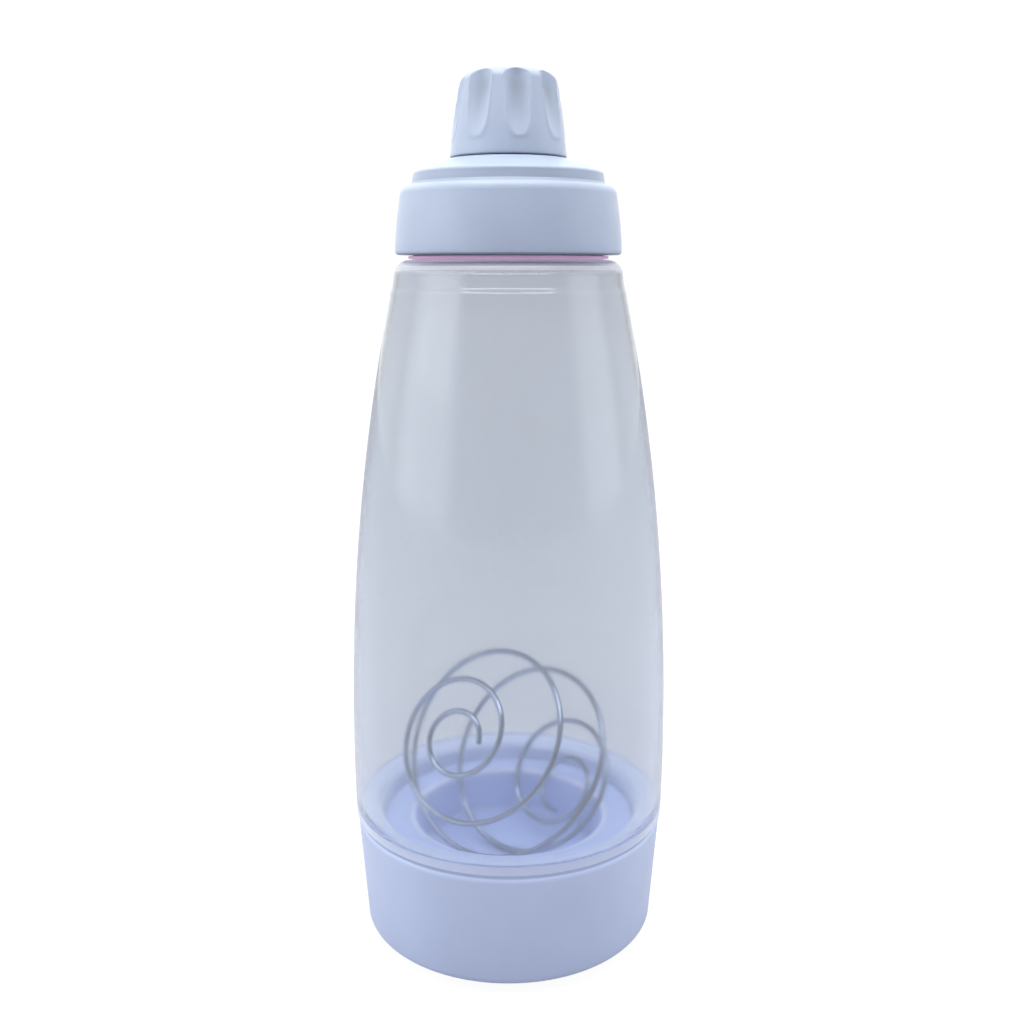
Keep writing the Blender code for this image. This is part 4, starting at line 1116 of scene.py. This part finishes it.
def soft_light(name, place, aim, width, height, power):
    """A rectangular soft box, which no surface mirrors."""
    data = bpy.data.lights.new(name, "AREA")
    data.shape = "RECTANGLE"
    data.size = width
    data.size_y = height
    data.energy = power
    lamp = bpy.data.objects.new(name, data)
    bpy.context.scene.collection.objects.link(lamp)
    lamp.location = place
    lamp.rotation_euler = (Vector(aim) - Vector(place)).to_track_quat("-Z", "Y").to_euler()
    lamp.visible_glossy = False
    return lamp


def tent_ramp(tree, front, stops):
    """The tent's colour from back to front."""
    ramp = tree.nodes.new("ShaderNodeValToRGB")
    ramp.color_ramp.interpolation = "EASE"
    while len(ramp.color_ramp.elements) < len(stops):
        ramp.color_ramp.elements.new(0.5)
    for element, (position, colour) in zip(ramp.color_ramp.elements, stops):
        element.position = position
        element.color = (*colour, 1.0)
    tree.links.new(front, ramp.inputs["Fac"])
    return ramp.outputs["Color"]


def panel(tree, parts, azimuth, half_width, side_soft, foot, head, soft, brightness):
    """A bright panel of the tent with soft edges, placed by angles in degrees seen from the bottle."""
    aside = math.sin(math.radians(azimuth))
    ahead = -math.cos(math.radians(azimuth))
    along = times(tree, parts.outputs["X"], aside)
    along = plus(tree, along, times(tree, parts.outputs["Y"], ahead))
    flat = times(tree, parts.outputs["Z"], parts.outputs["Z"])
    flat = math_node(tree, "MAXIMUM", math_node(tree, "SUBTRACT", 1.0, flat), 0.0001)
    along = math_node(tree, "DIVIDE", along, math_node(tree, "SQRT", flat))
    edge, core = math.radians(half_width + side_soft), math.radians(half_width)
    across = window(tree, along, math.cos(edge), math.cos(core))
    rise = window(tree, parts.outputs["Z"], math.sin(math.radians(foot - soft)), math.sin(math.radians(foot)))
    fall = window(tree, parts.outputs["Z"], math.sin(math.radians(head + soft)), math.sin(math.radians(head)))
    level = times(tree, across, times(tree, rise, fall))
    return times(tree, level, brightness)


flat_card("floor", FLOOR_SIZE, FLOOR_SIZE, (0.0, 0.0, -FLOOR_DROP), (0.0, 0.0, 1.0), floor_material())
soft_light("top_box", (0.0, -0.12, 0.80), MIDDLE, width=0.60, height=0.40, power=3.6)
soft_light("left_box", (-0.28, -0.12, 0.30), CAP_MIDDLE, width=0.20, height=0.20, power=0.18)

world = bpy.data.worlds.new("light_tent")
bpy.context.scene.world = world
world.use_nodes = True
tree = world.node_tree
tree.nodes.clear()
world_output = tree.nodes.new("ShaderNodeOutputWorld")
place = tree.nodes.new("ShaderNodeTexCoord")
parts = tree.nodes.new("ShaderNodeSeparateXYZ")
tree.links.new(place.outputs["Generated"], parts.inputs[0])
front = plus(tree, times(tree, parts.outputs["Y"], -0.5), 0.5)
above = times(tree, math_node(tree, "MAXIMUM", parts.outputs["Z"], 0.0), TENT_TOP)
tilt = plus(tree, times(tree, parts.outputs["X"], TENT_TILT), 1.0)
path = tree.nodes.new("ShaderNodeLightPath")
through = math_node(tree, "GREATER_THAN", path.outputs["Transmission Depth"], 0.5)
matt = math_node(tree, "GREATER_THAN", path.outputs["Diffuse Depth"], 0.5)
inside = times(tree, through, matt)
gain = plus(tree, times(tree, inside, INSIDE_GAIN), 1.0)
level = times(tree, plus(tree, tilt, above), TENT_LEVEL)
glossy = math_node(tree, "GREATER_THAN", path.outputs["Glossy Depth"], 0.5)
mirrored = times(tree, glossy, math_node(tree, "SUBTRACT", 1.0, matt))
deep = times(tree, times(tree, mirrored, through), MIRRORED_INSIDE - 1.0)
dimmed = plus(tree, deep, 1.0)
shade = colour_mix(tree, mirrored, tent_ramp(tree, front, TENT), tent_ramp(tree, front, MIRRORED_TENT))
around = tree.nodes.new("ShaderNodeBackground")
tree.links.new(shade, around.inputs["Color"])
tree.links.new(times(tree, times(tree, level, gain), dimmed), around.inputs["Strength"])
outside = math_node(tree, "SUBTRACT", 1.0, through)
panels = times(tree, panel(tree, parts, *FRONT_PANEL), outside)
for numbers in PANELS:
    panels = plus(tree, panel(tree, parts, *numbers), panels)
lit_panels = tree.nodes.new("ShaderNodeBackground")
lit_panels.inputs["Color"].default_value = PANEL_COLOUR
tree.links.new(times(tree, panels, mirrored), lit_panels.inputs["Strength"])
tent = tree.nodes.new("ShaderNodeAddShader")
tree.links.new(around.outputs[0], tent.inputs[0])
tree.links.new(lit_panels.outputs[0], tent.inputs[1])
backdrop = tree.nodes.new("ShaderNodeBackground")
backdrop.inputs["Color"].default_value = WHITE
tree.links.new(backdrop_level(tree, BACKDROP_LEVEL), backdrop.inputs["Strength"])
choose = tree.nodes.new("ShaderNodeMixShader")
tree.links.new(straight_share(tree), choose.inputs["Fac"])
tree.links.new(tent.outputs[0], choose.inputs[1])
tree.links.new(backdrop.outputs[0], choose.inputs[2])
tree.links.new(choose.outputs[0], world_output.inputs["Surface"])

camera_data = bpy.data.cameras.new("camera")
camera_data.lens = CAMERA_LENS
camera_data.sensor_width = CAMERA_SENSOR
camera_data.clip_start = CAMERA_CLIP
camera = bpy.data.objects.new("camera", camera_data)
bpy.context.scene.collection.objects.link(camera)
camera.location = CAMERA_PLACE
camera.rotation_euler = (CAMERA_PITCH, 0.0, 0.0)
bpy.context.scene.camera = camera

bpy.context.scene.view_settings.view_transform = "Standard"

bpy.context.view_layer.update()
